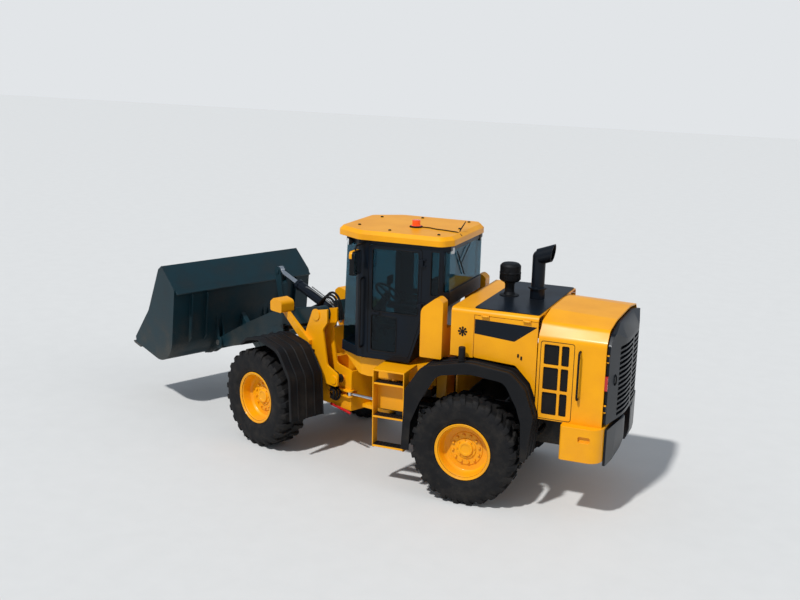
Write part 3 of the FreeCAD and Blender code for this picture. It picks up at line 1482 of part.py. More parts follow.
def counterweight():
    """A round-cornered block across the back with a jaw and pin hole for towing."""
    plan = [
        (REAR_END_X - SEAT_GAP, -WEIGHT_HALF, 40),
        (REAR_END_X - SEAT_GAP, WEIGHT_HALF, 40),
        (-3090, WEIGHT_HALF, 160),
        (-3090, -WEIGHT_HALF, 160),
    ]
    block = slab(plan, "xy", WEIGHT_BOTTOM_Z, WEIGHT_TOP_Z)
    jaw = box(-3100, -2930, -110, 110, 880, 980)
    hole = Part.makeCylinder(TOW_BORE_RADIUS, 1000, Vector(*TOW_BORE, 600))
    outline = [(-2820, 1000, 20), (-2820, 1070, 20), (-2960, 1070, 20), (-2960, 1000, 20)]
    recess = slab(outline, "xz", WEIGHT_HALF - 30, 1200)
    return cut(block, jaw, hole, *both(recess))


def rear_bumper():
    """A stepped skirt behind the counterweight, split in the middle for the jaw."""
    profile = [
        (-3090 - SEAT_GAP, 700),
        (-3150, 700, 20),
        (-3190, 840, 20),
        (-3190, 1140, 30),
        (-3090 - SEAT_GAP, 1140),
    ]
    plan = [(-3090, 170), (-3090, 860), (-3120, 860), (-3200, 170)]
    skirt = slab(profile, "xz", 170, 860).common(slab(plan, "xy", 600, 1200))
    return Part.makeCompound(both(skirt))


def engine():
    block = box(-2550, -1780, -340, 340, 960, 1750)
    inside = REAR_PLATE_Y - FRAME_PLATE / 2 - SEAT_GAP
    beams = [box(x, x + 60, -inside, inside, 1000, 1060) for x in (-1920, -2460)]
    return fused(block, *beams)


def deck_cover():
    side = HOOD_HALF - 60
    rear = HOOD_SPLIT_X + 15
    plan = [(-1440, -side, 30), (rear, -side, 30), (rear, side, 30), (-1440, side, 30)]
    low = HOOD_TOP_Z + SEAT_GAP
    return slab(plan, "xy", low, low + 12)


def precleaner():
    low = HOOD_TOP_Z + 12 + 2 * SEAT_GAP
    section = [
        (0, low),
        (125, low),
        (60, low + 55),
        (60, 2580),
        (125, 2585),
        (135, 2600),
        (135, 2790, 25),
        (100, 2830),
        (0, 2830),
    ]
    return moved(spun_z(section), -1610)


def exhaust_stack():
    """An upright pipe in a collared sleeve, with a mitred tail that is cut off steeply behind."""
    low = HOOD_TOP_Z + 12 + 2 * SEAT_GAP
    bend = Vector(0, 0, 2935)
    tail_run = Vector(-0.94, 0, 0.34)
    radius = EXHAUST_RADIUS
    sleeve = spun_z([(0, low), (92, low), (92, 2535), (118, 2540), (118, 2556), (radius, 2560), (0, 2560)])
    tail = rod(bend, bend + tail_run * 260, radius + 18)
    upright_run = rod(Vector(0, 0, low + 50), bend, radius)
    pipe_form = fused(sleeve, upright_run, Part.makeSphere(radius, bend), tail)
    bores = [rod(Vector(0, 0, 2650), bend, radius - 6), rod(bend, bend + tail_run * 300, radius + 12)]
    cut_off = slab([(-195, 3150), (-150, 2800), (-500, 2800), (-500, 3150)], "xz", -200, 200)
    return moved(cut(pipe_form, *bores, cut_off), -1970)


def ladders():
    """Steps up to the cab on each side, hung from the deck on two blades that narrow downwards."""
    y0, y1 = 880, 1040
    top = DECK_TOP_Z
    blade = [(y0, top), (y0, LADDER_LOW_Z), (y1 - 30, LADDER_LOW_Z, 20), (y1, top - 150), (y1, top)]
    stiles = [slab(blade, "yz", x, x + 12) for x in (-640, -232)]
    treads = [box(-640, -232, y0 + 5, y1 - 15, z, z + 24) for z in LADDER_TREADS]
    back = box(-640, -232, y0, y0 + 12, LADDER_TREADS[1] + 80, LADDER_TREADS[2])
    landing = box(-640, -220, 620 + SEAT_GAP, y1, DECK_TOP_Z - 20, DECK_TOP_Z)
    return Part.makeCompound(both(fused(*stiles, *treads, back, landing)))


def handrails():
    """Grab rails at the cab's front pillars, behind the door and on the rear hood."""
    face = CAB_HALF_WIDTH + SEAT_GAP
    side = HOOD_HALF + SEAT_GAP
    front = 90
    knee, shoulder = cab_z(0.09), cab_z(0.675)
    x, low, high = -2760, 1480, 2050
    run = [(face, knee), (face + 75, knee), (face + 75, shoulder), (face, shoulder)]
    rails = [
        pipe([(front, y, z) for y, z in run], 14, 40),
        pipe([(x, side, low), (x, side + 65, low), (x, side + 65, high), (x, side, high)], 13, 35),
    ]
    return Part.makeCompound(rails + [mirrored(rail) for rail in rails])


def mirrors():
    """A mirror on a bent arm beside each front pillar of the cab."""
    face = CAB_HALF_WIDTH + SEAT_GAP
    top = CAB_EAVES_Z - 50
    arm = pipe([(MIRROR_X, face, top), (MIRROR_X, 925, top), (MIRROR_X, 925, top - 90)], 12, 40)
    foot = box(MIRROR_X - 25, MIRROR_X + 25, face, face + 10, top - 40, top + 40)
    outline = [(805, top - 355, 30), (805, top - 60, 40), (1040, top - 60, 40), (1040, top - 355, 30)]
    head = slab(outline, "yz", MIRROR_X - 30, MIRROR_X + 25)
    return fused(arm, foot, head)


def beacon():
    low = ROOF_TOP_Z + SEAT_GAP
    section = [(0, low), (70, low), (70, low + 20), (52, low + 26), (52, low + 90), (0, low + 96)]
    return moved(spun_z(section), -390, 150)


def rear_lamps():
    y = HOOD_HALF - 34
    lamp = box(HOOD_REAR_X - 34, HOOD_REAR_X - SEAT_GAP, y, y + 30, 1620, 1790)
    return Part.makeCompound(both(lamp))


def main():
    os.makedirs("parts", exist_ok=True)
    rear = {
        "rear_axle": moved(rear_axle(), -HALF_WHEELBASE, 0, TYRE_RADIUS),
        "rear_frame": rear_frame(),
        "pivot_pins": pivot_pins(),
        "counterweight": counterweight(),
        "rear_bumper": rear_bumper(),
        "engine": engine(),
        "rear_fenders": rear_fenders(),
        "side_tanks": side_tanks(),
        "hood_mid": hood_mid(),
        "deck_cover": deck_cover(),
        "rear_hood": rear_hood(),
        "vent_screens": vent_screens(),
        "rear_lamps": rear_lamps(),
        "precleaner": precleaner(),
        "exhaust_stack": exhaust_stack(),
        "engine_door_left": engine_door(),
        "engine_door_right": mirrored(engine_door()),
        "grille_door": grille_door(),
        "cab_deck": cab_deck(),
        "cab_frame": cab_frame(),
        "cab_glass": cab_glass(),
        "cab_roof": cab_roof(),
        "cab_door": cab_door(),
        "cab_door_glass": cab_door_glass(),
        "seat": seat(),
        "console": console(),
        "ladders": ladders(),
        "handrails": handrails(),
        "mirrors": Part.makeCompound(both(mirrors())),
        "beacon": beacon(),
        "steer_barrel_left": steer_barrel(1),
        "steer_barrel_right": steer_barrel(-1),
        "steer_rod_left": steer_rod(1),
        "steer_rod_right": steer_rod(-1),
    }
    front = {
        "front_axle": moved(front_axle(), HALF_WHEELBASE, 0, TYRE_RADIUS),
        "front_frame": front_frame(),
        "front_fenders": front_fenders(),
        "headlamps": headlamps(),
        "boom": arms(),
        "crank_pin": pin(CRANK_PIVOT, PIN_RADIUS, CRANK_THICK / 2 + EYE_GAP + 40),
        "crank": crank(),
        "link_pin": link_pin(),
        "link": link(),
        "tilt_pin": pin(TILT_BASE, PIN_RADIUS, TILT_EYE_WIDTH / 2 + EYE_GAP + 34),
        "tilt_barrel": tilt_barrel(),
        "tilt_rod": tilt_rod(),
        "lift_barrels": lift_barrels(),
        "lift_rods": lift_rods(),
        "hinge_pins": hinge_pins(),
        "bucket": bucket(),
        "cutting_edge": cutting_edge(),
    }
    nodes = wheels()
    nodes.update({name: place_rear(shape) for name, shape in rear.items()})
    nodes.update({name: place_front(shape) for name, shape in front.items()})
    for name, shape in nodes.items():
        shape.exportStep(f"parts/{name}.step")
        print(name, len(shape.Solids), shape.isValid(), round(shape.Volume / 1e9, 4))


if __name__ == "__main__":
    main()
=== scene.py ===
# %% [markdown]
# # A wheel loader, dressed
#
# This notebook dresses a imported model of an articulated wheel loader. The solids give every size and
# place, and the cells below add the paint, rubber, glass and the small pieces that make it look like a
# working machine. Each cell says what the piece is on the real machine, how it could be made, and why
# it is made this way.

# %% Imports and the fixed frame
import json
import math

import bmesh
import bpy
from mathutils import Matrix, Vector


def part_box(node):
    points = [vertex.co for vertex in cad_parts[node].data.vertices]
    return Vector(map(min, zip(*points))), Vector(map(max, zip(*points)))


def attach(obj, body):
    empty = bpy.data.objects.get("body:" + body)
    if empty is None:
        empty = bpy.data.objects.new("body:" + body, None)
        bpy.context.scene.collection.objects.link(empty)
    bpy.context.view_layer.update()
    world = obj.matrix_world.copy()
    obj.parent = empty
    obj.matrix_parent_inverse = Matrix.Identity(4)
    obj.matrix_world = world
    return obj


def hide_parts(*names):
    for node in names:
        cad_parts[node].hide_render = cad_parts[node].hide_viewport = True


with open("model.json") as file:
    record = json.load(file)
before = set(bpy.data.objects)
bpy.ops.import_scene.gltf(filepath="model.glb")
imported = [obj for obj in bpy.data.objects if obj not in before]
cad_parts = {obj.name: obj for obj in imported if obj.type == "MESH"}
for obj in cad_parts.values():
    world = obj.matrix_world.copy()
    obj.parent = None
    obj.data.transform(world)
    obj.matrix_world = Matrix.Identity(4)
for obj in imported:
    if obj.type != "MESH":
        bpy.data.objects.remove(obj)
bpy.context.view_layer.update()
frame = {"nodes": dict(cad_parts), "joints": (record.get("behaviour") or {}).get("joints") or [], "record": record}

# %% [markdown]
# ## Where things are
#
# The rear half of the machine lies along X. The front half is turned about the articulation axis, as it
# was parked. Both places come from the joint that links them, so a piece for the front half is made
# straight ahead and then turned with one matrix.

# %% The two halves' places
HANDS = {1: "left", -1: "right"}
JOINTS = {joint["name"]: joint for joint in frame["joints"]}
PIVOT = Vector(JOINTS["articulation"]["pos_m"])
PIVOT.z = 0.0
lift_axis = Vector(JOINTS["boom_lift"]["axis"])
STEER = math.atan2(lift_axis.x, -lift_axis.y)
REAR = Matrix.Translation(PIVOT)
FRONT = Matrix.Translation(PIVOT) @ Matrix.Rotation(STEER, 4, "Z")
WHEEL_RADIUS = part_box("tyre_rear_left")[1].z / 2
print("front half turned by", round(math.degrees(STEER), 2), "degrees")
print("wheel radius", round(WHEEL_RADIUS, 3))

# %% [markdown]
# ## Camera
#
# The camera stands where the photographer's did: left of the machine and behind it, above the roof. Its
# place and turn were found from the wheels' known spacing, so they are real distances in metres and
# angles in degrees.

# %% Camera
CAMERA_PLACE = Vector((-5.4929, 13.1957, 5.5235))
CAMERA_YAW = math.radians(-67.902)
CAMERA_PITCH = math.radians(-13.223)
CAMERA_ROLL = math.radians(1.578)
FOCAL_PIXELS = 1120.52
IMAGE_WIDTH = 800


def add_camera():
    look = Vector((
        math.cos(CAMERA_PITCH) * math.cos(CAMERA_YAW),
        math.cos(CAMERA_PITCH) * math.sin(CAMERA_YAW),
        math.sin(CAMERA_PITCH),
    ))
    level = look.cross(Vector((0, 0, 1))).normalized()
    top = level.cross(look)
    right = math.cos(CAMERA_ROLL) * level + math.sin(CAMERA_ROLL) * top
    up = -math.sin(CAMERA_ROLL) * level + math.cos(CAMERA_ROLL) * top
    data = bpy.data.cameras.new("camera")
    data.sensor_width = 36.0
    data.lens = data.sensor_width * FOCAL_PIXELS / IMAGE_WIDTH
    data.clip_end = 200.0
    camera = bpy.data.objects.new("camera", data)
    bpy.context.scene.collection.objects.link(camera)
    turn = Matrix((right, up, -look)).transposed().to_4x4()
    camera.matrix_world = Matrix.Translation(CAMERA_PLACE + PIVOT) @ turn
    bpy.context.scene.camera = camera
    return camera


camera = add_camera()
print("lens", round(camera.data.lens, 2), "mm")

# %% [markdown]
# ## Shader arithmetic
#
# A material is a small program. Writing its maths as Python expressions keeps it readable: `Value`
# wraps a socket, and adding or multiplying two of them makes the Math node that does it. `Shade` holds
# one material's nodes.

# %% A socket that takes part in sums
class Value:
    """A number that changes over the surface."""

    def __init__(self, shade, socket):
        self.shade = shade
        self.socket = socket

    def math(self, operation, other):
        return self.shade.node("ShaderNodeMath", {"operation": operation}, {0: self, 1: other})

    def __add__(self, other):
        return self.math("ADD", other)

    def __rsub__(self, other):
        return self.shade.node("ShaderNodeMath", {"operation": "SUBTRACT"}, {0: other, 1: self})

    def __mul__(self, other):
        return self.math("MULTIPLY", other)

    def between(self, low, high):
        """0 below low, 1 above high, and a smooth ramp from one to the other."""
        ends = {"Value": self, "From Min": low, "From Max": high}
        return self.shade.node("ShaderNodeMapRange", {"interpolation_type": "SMOOTHSTEP"}, ends)


NOISE_ROUGHNESS = 0.55


class Shade:
    """One material, with one method that adds any node."""

    def __init__(self, name):
        self.material = bpy.data.materials.new(name)
        self.material.use_nodes = True
        self.tree = self.material.node_tree
        self.tree.nodes.clear()
        self.place = self.node("ShaderNodeTexCoord", output="Object")

    def node(self, kind, settings=None, inputs=None, output=0):
        made = self.tree.nodes.new(kind)
        for key, value in (settings or {}).items():
            setattr(made, key, value)
        for key, value in (inputs or {}).items():
            if isinstance(value, Value):
                self.tree.links.new(value.socket, made.inputs[key])
            else:
                made.inputs[key].default_value = value
        return Value(self, made.outputs[output])

    def noise(self, scale, detail=3.0):
        inputs = {"Vector": self.place, "Scale": scale, "Detail": detail, "Roughness": NOISE_ROUGHNESS}
        return self.node("ShaderNodeTexNoise", None, inputs)

    def wave(self, direction, scale):
        inputs = {"Vector": self.place, "Scale": scale}
        return self.node("ShaderNodeTexWave", {"bands_direction": direction}, inputs)

    def axis(self, letter):
        return self.node("ShaderNodeSeparateXYZ", None, {0: self.place}, output="XYZ".index(letter))

    def mix(self, factor, low, high):
        """A colour between two."""
        return self.node("ShaderNodeMix", {"data_type": "RGBA"}, {0: factor, 6: low, 7: high}, output=2)

    def bump(self, height, strength, distance, under=None):
        inputs = {"Height": height, "Strength": strength, "Distance": distance}
        if under is not None:
            inputs["Normal"] = under
        return self.node("ShaderNodeBump", None, inputs)

    def surface(self, **inputs):
        """The principled surface and the output. Names are written with underscores for spaces."""
        named = {key.replace("_", " "): value for key, value in inputs.items()}
        shader = self.node("ShaderNodeBsdfPrincipled", None, named)
        self.finish(shader)
        return self.material

    def finish(self, shader):
        output = self.tree.nodes.new("ShaderNodeOutputMaterial")
        self.tree.links.new(shader.socket, output.inputs["Surface"])

# %% [markdown]
# ## Finishes
#
# A machine like this is sprayed in two gloss colours, and everything that bends or rubs is black rubber
# or moulded plastic. Real paint isn't one flat colour. Dust settles on it, more so low down, and the
# gloss is broken by a faint orange peel. Each finish below is one function that returns a material.

# %% Colours
def srgb(red, green, blue):
    """A colour as it is seen on a screen, made linear for the shader."""
    def linear(level):
        level = level / 255
        return level / 12.92 if level <= 0.04045 else ((level + 0.055) / 1.055) ** 2.4
    return (linear(red), linear(green), linear(blue), 1.0)


YELLOW = srgb(241, 164, 0)
YELLOW_DEEP = srgb(232, 154, 0)
SLATE = srgb(11, 20, 30)
SLATE_DEEP = srgb(7, 14, 22)
TEAL = srgb(17, 44, 52)
TEAL_DEEP = srgb(13, 34, 41)
BLACK = srgb(13, 14, 17)
RUBBER = srgb(15, 15, 17)
DUST = srgb(150, 134, 112)
STEEL = srgb(150, 150, 148)

# %% Paint
EDGE_ROUND = 0.006
ORANGE_PEEL = 0.05


def paint(name, colour, deep, dust, roughness=0.38, gloss=0.25):
    """Sprayed paint with drifts of dust that thicken towards the ground."""
    shade = Shade(name)
    drift = shade.noise(2.2, 4.0)
    speck = shade.noise(60.0, 2.0)
    low = 1.0 - shade.axis("Z").between(0.5, 1.9)
    dusty = ((drift * 0.9 + speck * 0.25).between(0.45, 0.95) * (low * 0.8 + 0.2)) * dust
    tone = shade.mix(drift.between(0.3, 0.7), colour, deep)
    base = shade.mix(dusty, tone, DUST)
    rough = dusty * 0.5 + drift * 0.08 + (roughness - 0.04)
    skin = shade.noise(420.0, 1.0)
    soft = shade.node("ShaderNodeBevel", {"samples": 4}, {"Radius": EDGE_ROUND})
    return shade.surface(
        Base_Color=base,
        Roughness=rough,
        Coat_Weight=0.12,
        Coat_Roughness=0.12,
        Specular_IOR_Level=gloss,
        Normal=shade.bump(skin, ORANGE_PEEL, 0.002, soft),
    )


paint_yellow = paint("paint_yellow", YELLOW, YELLOW_DEEP, dust=0.10)
paint_slate = paint("paint_slate", SLATE, SLATE_DEEP, dust=0.10, roughness=0.36, gloss=0.12)
paint_bucket = paint("paint_bucket", TEAL, TEAL_DEEP, dust=0.22, roughness=0.45, gloss=0.18)
paint_frame = paint("paint_frame", SLATE_DEEP, BLACK, dust=0.30, roughness=0.50)
paint_wheel = paint("paint_wheel", YELLOW, YELLOW_DEEP, dust=0.22, roughness=0.40)

# %% Plastic, rubber and cloth
PLASTIC_DUST = 0.1


def plastic(name, colour, roughness=0.55, grain=0.3):
    """Moulded plastic with a fine leather grain."""
    shade = Shade(name)
    drift = shade.noise(3.0)
    low = 1.0 - shade.axis("Z").between(0.4, 1.8)
    dusty = drift.between(0.4, 0.9) * (low * 0.8 + 0.2) * PLASTIC_DUST
    pits = shade.node("ShaderNodeTexVoronoi", None, {"Vector": shade.place, "Scale": 380.0})
    return shade.surface(
        Base_Color=shade.mix(dusty, colour, DUST),
        Roughness=dusty * 0.4 + drift * 0.1 + (roughness - 0.05),
        Specular_IOR_Level=0.2,
        Normal=shade.bump(pits, grain, 0.0008),
    )


def tyre_rubber(name):
    """Rubber greyed by patches of dust."""
    shade = Shade(name)
    drift = shade.noise(9.0, 5.0)
    fine = shade.noise(120.0, 3.0)
    dusty = (drift * 0.8 + fine * 0.3).between(0.42, 1.0) * 0.18
    return shade.surface(
        Base_Color=shade.mix(dusty, RUBBER, srgb(112, 102, 90)),
        Roughness=drift * 0.15 + 0.72,
        Specular_IOR_Level=0.25,
        Normal=shade.bump(fine, 0.5, 0.003),
    )


def cloth(name, colour):
    """A woven seat cover."""
    shade = Shade(name)
    weave = shade.wave("X", 160.0) * shade.wave("Z", 160.0)
    return shade.surface(
        Base_Color=shade.mix(weave, colour, srgb(62, 64, 70)),
        Roughness=0.9,
        Normal=shade.bump(weave, 0.6, 0.001),
    )


def metal(name, colour, roughness, brushed=0.15):
    """Bare metal with faint streaks."""
    shade = Shade(name)
    streak = shade.noise(40.0, 4.0)
    duller = tuple(0.75 * level for level in colour[:3]) + (1.0,)
    return shade.surface(
        Base_Color=shade.mix(streak.between(0.3, 0.8), colour, duller),
        Metallic=1.0,
        Roughness=streak * brushed + roughness,
    )


def lens(name, colour, glow=0.0):
    """A coloured moulded lens with fine ribs inside."""
    shade = Shade(name)
    ribs = shade.wave("Z", 60.0)
    extra = {"Emission_Color": colour, "Emission_Strength": glow} if glow else {}
    return shade.surface(
        Base_Color=colour,
        Roughness=0.12,
        Coat_Weight=0.5,
        Normal=shade.bump(ribs, 0.25, 0.002),
        **extra,
    )

# %% [markdown]
# Tinted cab glass is thin and nearly clear. A transparent surface mixed with a glossy one by Fresnel
# reads as glass from any side, and lets the camera see the seat without the noise that true refraction
# brings.

# %% Glass
def tinted_glass(name, tint, reflect):
    """A clear pane that tints what is behind it and mirrors the sky at a slant."""
    shade = Shade(name)
    clear = shade.node("ShaderNodeBsdfTransparent", None, {"Color": tint})
    sheen = shade.node("ShaderNodeBsdfGlossy", None, {"Color": (0.8, 0.9, 1.0, 1.0), "Roughness": 0.02})
    edge = shade.node("ShaderNodeFresnel", None, {"IOR": 1.45})
    shade.finish(shade.node("ShaderNodeMixShader", None, {"Fac": edge * reflect, 1: clear, 2: sheen}))
    return shade.material


black_plastic = plastic("black_plastic", BLACK)
black_rubber = plastic("black_rubber", RUBBER, roughness=0.7, grain=0.15)
tyre_black = tyre_rubber("tyre_black")
seat_cloth = cloth("seat_cloth", srgb(30, 31, 35))
worn_steel = metal("worn_steel", STEEL, 0.38)
edge_steel = metal("edge_steel", srgb(105, 104, 102), 0.42)
rod_chrome = metal("rod_chrome", srgb(205, 208, 212), 0.08, 0.05)
engine_iron = paint("engine_iron", srgb(70, 70, 68), srgb(48, 48, 46), dust=0.6, roughness=0.6)
cab_glass_tint = tinted_glass("cab_glass_tint", srgb(142, 176, 184), 0.5)
red_lens = lens("red_lens", srgb(176, 22, 20))
beacon_lens = lens("beacon_lens", srgb(228, 74, 18), 0.3)
clear_lens = lens("clear_lens", srgb(214, 220, 222))
lock_red = paint("lock_red", srgb(196, 24, 28), srgb(170, 18, 22), dust=0.1)
mirror_glass = metal("mirror_glass", srgb(200, 208, 212), 0.03, 0.02)

FINISH = {
    "yellow": paint_yellow,
    "dark_slate": paint_slate,
    "black_plastic": black_plastic,
    "dark_frame": paint_frame,
    "tyre": tyre_black,
    "glass": cab_glass_tint,
    "steel": worn_steel,
    "chrome": rod_chrome,
    "worn_edge": edge_steel,
    "engine_grey": engine_iron,
    "fabric": seat_cloth,
    "lamp_red": red_lens,
    "beacon_orange": beacon_lens,
}
# Parts whose finish isn't their slot's
OWN_FINISH = {
    "bucket": paint_bucket,
    "boom": paint_bucket,
    "crank": paint_bucket,
    "link": paint_bucket,
    "vent_screens": black_plastic,
}
print(len(FINISH), "finishes")

# %% [markdown]
# ## Dressing a solid
#
# The imported solids are loose triangles, so round forms shade as flats. A copy is welded and smoothed
# wherever two faces meet at a shallow angle. It stands for the solid and rides with the same body.

# %% Helpers for pieces
BODY_OF = {node: body for body, nodes in frame["record"]["behaviour"]["bodies"].items() for node in nodes}
SLOT_OF = {part["node"]: part["material_slot"] for part in frame["record"]["subparts"]}
WELD = 0.00002
SMOOTH_ANGLE = math.radians(26)


def new_object(name, mesh):
    """An object at the origin, unturned, that shows a mesh, a curve or a lamp."""
    piece = bpy.data.objects.new(name, mesh)
    bpy.context.scene.collection.objects.link(piece)
    return piece


def smooth_by_angle(mesh, angle=SMOOTH_ANGLE):
    """Marks faces smooth and edges sharper than the angle as sharp."""
    work = bmesh.new()
    work.from_mesh(mesh)
    for face in work.faces:
        face.smooth = True
    for edge in work.edges:
        edge.smooth = len(edge.link_faces) == 2 and edge.calc_face_angle(math.pi) < angle
    work.to_mesh(mesh)
    work.free()


def skin(node):
    """A welded, smooth copy of a solid that stands for it."""
    mesh = frame["nodes"][node].data.copy()
    mesh.name = node + "_skin"
    work = bmesh.new()
    work.from_mesh(mesh)
    bmesh.ops.remove_doubles(work, verts=work.verts, dist=WELD)
    work.to_mesh(mesh)
    work.free()
    smooth_by_angle(mesh)
    mesh.materials.clear()
    mesh.materials.append(OWN_FINISH.get(node) or FINISH[SLOT_OF[node]])
    piece = new_object(node + "_skin", mesh)
    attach(piece, BODY_OF[node])
    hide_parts(node)
    return piece

# %% [markdown]
# ## Small tools for making meshes
#
# Plates are cut from a drawn outline and their edges broken, round pieces are spun from half a section,
# and hoses follow a smooth curve. A piece is drawn on the straight machine and put in place by the
# matrix of its half.

# %% Outlines, plates and round pieces
PLAIN = Matrix.Identity(4)


def on_plane(plane, u, v, w):
    """A point of a drawing on the plane xz, xy or yz, at depth w."""
    return {"xz": Vector((u, w, v)), "xy": Vector((u, v, w)), "yz": Vector((w, u, v))}[plane]


def fillet(points, steps=5, closed=True):
    """Corners given as (u, v, radius) become arcs. The others stay sharp."""
    path = []
    count = len(points)
    for i, point in enumerate(points):
        here = Vector(point[:2])
        radius = point[2] if len(point) > 2 else 0.0
        if not radius or (not closed and i in (0, count - 1)):
            path.append(here)
            continue
        back = (Vector(points[i - 1][:2]) - here).normalized()
        ahead = (Vector(points[(i + 1) % count][:2]) - here).normalized()
        half = back.angle(ahead) / 2
        middle = here + (back + ahead).normalized() * (radius / math.sin(half))
        first = here + back * (radius / math.tan(half)) - middle
        last = here + ahead * (radius / math.tan(half)) - middle
        sweep = first.angle_signed(last)
        for k in range(steps + 1):
            path.append(middle + Matrix.Rotation(-sweep * k / steps, 2) @ first)
    return path


def rect(u0, u1, v0, v1, radii=0.0):
    """A rectangle's outline. Its radii are one for all corners, or four in the order the corners come."""
    four = radii if isinstance(radii, tuple) else (radii,) * 4
    corners = ((u0, v0), (u1, v0), (u1, v1), (u0, v1))
    return [corner + (radius,) for corner, radius in zip(corners, four)]


def reach(side, near, far):
    """The two depths of a plate on the left (1) or right (-1), low one first."""
    return sorted((side * near, side * far))


def slab(work, outline, plane, low, high, place=REAR, edge=0.003, steps=5):
    """A plate of the outline from depth low to high, with its rims broken."""
    path = fillet(outline, steps)
    rims = [[work.verts.new(place @ on_plane(plane, p.x, p.y, w)) for p in path] for w in (low, high)]
    faces = [work.faces.new(rim) for rim in rims]
    for i in range(len(path)):
        j = (i + 1) % len(path)
        work.faces.new([rims[0][i], rims[0][j], rims[1][j], rims[1][i]])
    if edge:
        edges = list({e for face in faces for e in face.edges})
        bmesh.ops.bevel(
            work, geom=edges, offset=edge, segments=2, profile=0.5, affect="EDGES", clamp_overlap=True
        )


def block(work, x0, x1, y0, y1, z0, z1, place=REAR, edge=0.003):
    slab(work, rect(x0, x1, y0, y1), "xy", z0, z1, place, edge)


def lathe(work, profile, centre, axis="z", place=REAR, steps=32):
    """Spins a line of (radius, along) points about an axis through the centre."""
    turn_axis = {
        "y": lambda c, s, a: Vector((c, a, s)),
        "z": lambda c, s, a: Vector((c, s, a)),
    }[axis]
    rings = []
    for radius, along in profile:
        spots = steps if radius > 1e-6 else 1
        ring = []
        for i in range(spots):
            angle = 2 * math.pi * i / steps
            spot = turn_axis(radius * math.cos(angle), radius * math.sin(angle), along)
            ring.append(work.verts.new(place @ (Vector(centre) + spot)))
        rings.append(ring)
    for low, high in zip(rings, rings[1:]):
        for i in range(steps):
            j = (i + 1) % steps
            corners = [low[i % len(low)], low[j % len(low)], high[j % len(high)], high[i % len(high)]]
            corners = list(dict.fromkeys(corners))
            if len(corners) > 2:
                work.faces.new(corners)


def bolt(work, seat, size, height):
    """A hexagon head on its washer, standing on the seat along Z."""
    washer = [(0, 0), (size * 1.25, 0), (size * 1.25, height * 0.25), (size, height * 0.25)]
    lathe(work, washer, (0, 0, seat), "z", PLAIN, 12)
    head = [(size, height * 0.2), (size, height * 0.9), (size * 0.85, height), (0, height)]
    lathe(work, head, (0, 0, seat), "z", PLAIN, 6)


def piece(name, work, finish, body="rear_half", covers=(), angle=SMOOTH_ANGLE, slot=None):
    """Turns a working mesh into a piece with its finish, that rides on a body."""
    bmesh.ops.recalc_face_normals(work, faces=work.faces)
    mesh = bpy.data.meshes.new(name)
    work.to_mesh(mesh)
    work.free()
    smooth_by_angle(mesh, angle)
    mesh.materials.append(finish)
    made = new_object(name, mesh)
    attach(made, body)
    if covers:
        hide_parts(*covers)
    return made


def swept(name, routes, radius, finish, body="rear_half", place=REAR, slot=None):
    """Bars or hoses along smooth curves, as one plain mesh."""
    data = bpy.data.curves.new(name, "CURVE")
    data.dimensions = "3D"
    data.bevel_depth = radius
    data.bevel_resolution = 3
    data.resolution_u = 8
    data.use_fill_caps = True
    for route in routes:
        spline = data.splines.new("NURBS")
        spline.points.add(len(route) - 1)
        for spot, point in zip(spline.points, route):
            spot.co = (place @ Vector(point)).to_4d()
        spline.order_u = 3
        spline.use_endpoint_u = True
    curve = new_object(name + "_curve", data)
    bpy.context.view_layer.update()
    mesh = bpy.data.meshes.new_from_object(curve)
    bpy.data.objects.remove(curve)
    mesh.name = name
    work = bmesh.new()
    work.from_mesh(mesh)
    bpy.data.meshes.remove(mesh)
    return piece(name, work, finish, body, slot=slot)

# %% [markdown]
# Lugs and wheel bolts repeat round a circle. One Geometry Nodes tree places copies of a piece round the
# Z axis, each turned so that its X points outward. Its inputs are the piece, how many, how far out, the
# angle of the first, and the finish.

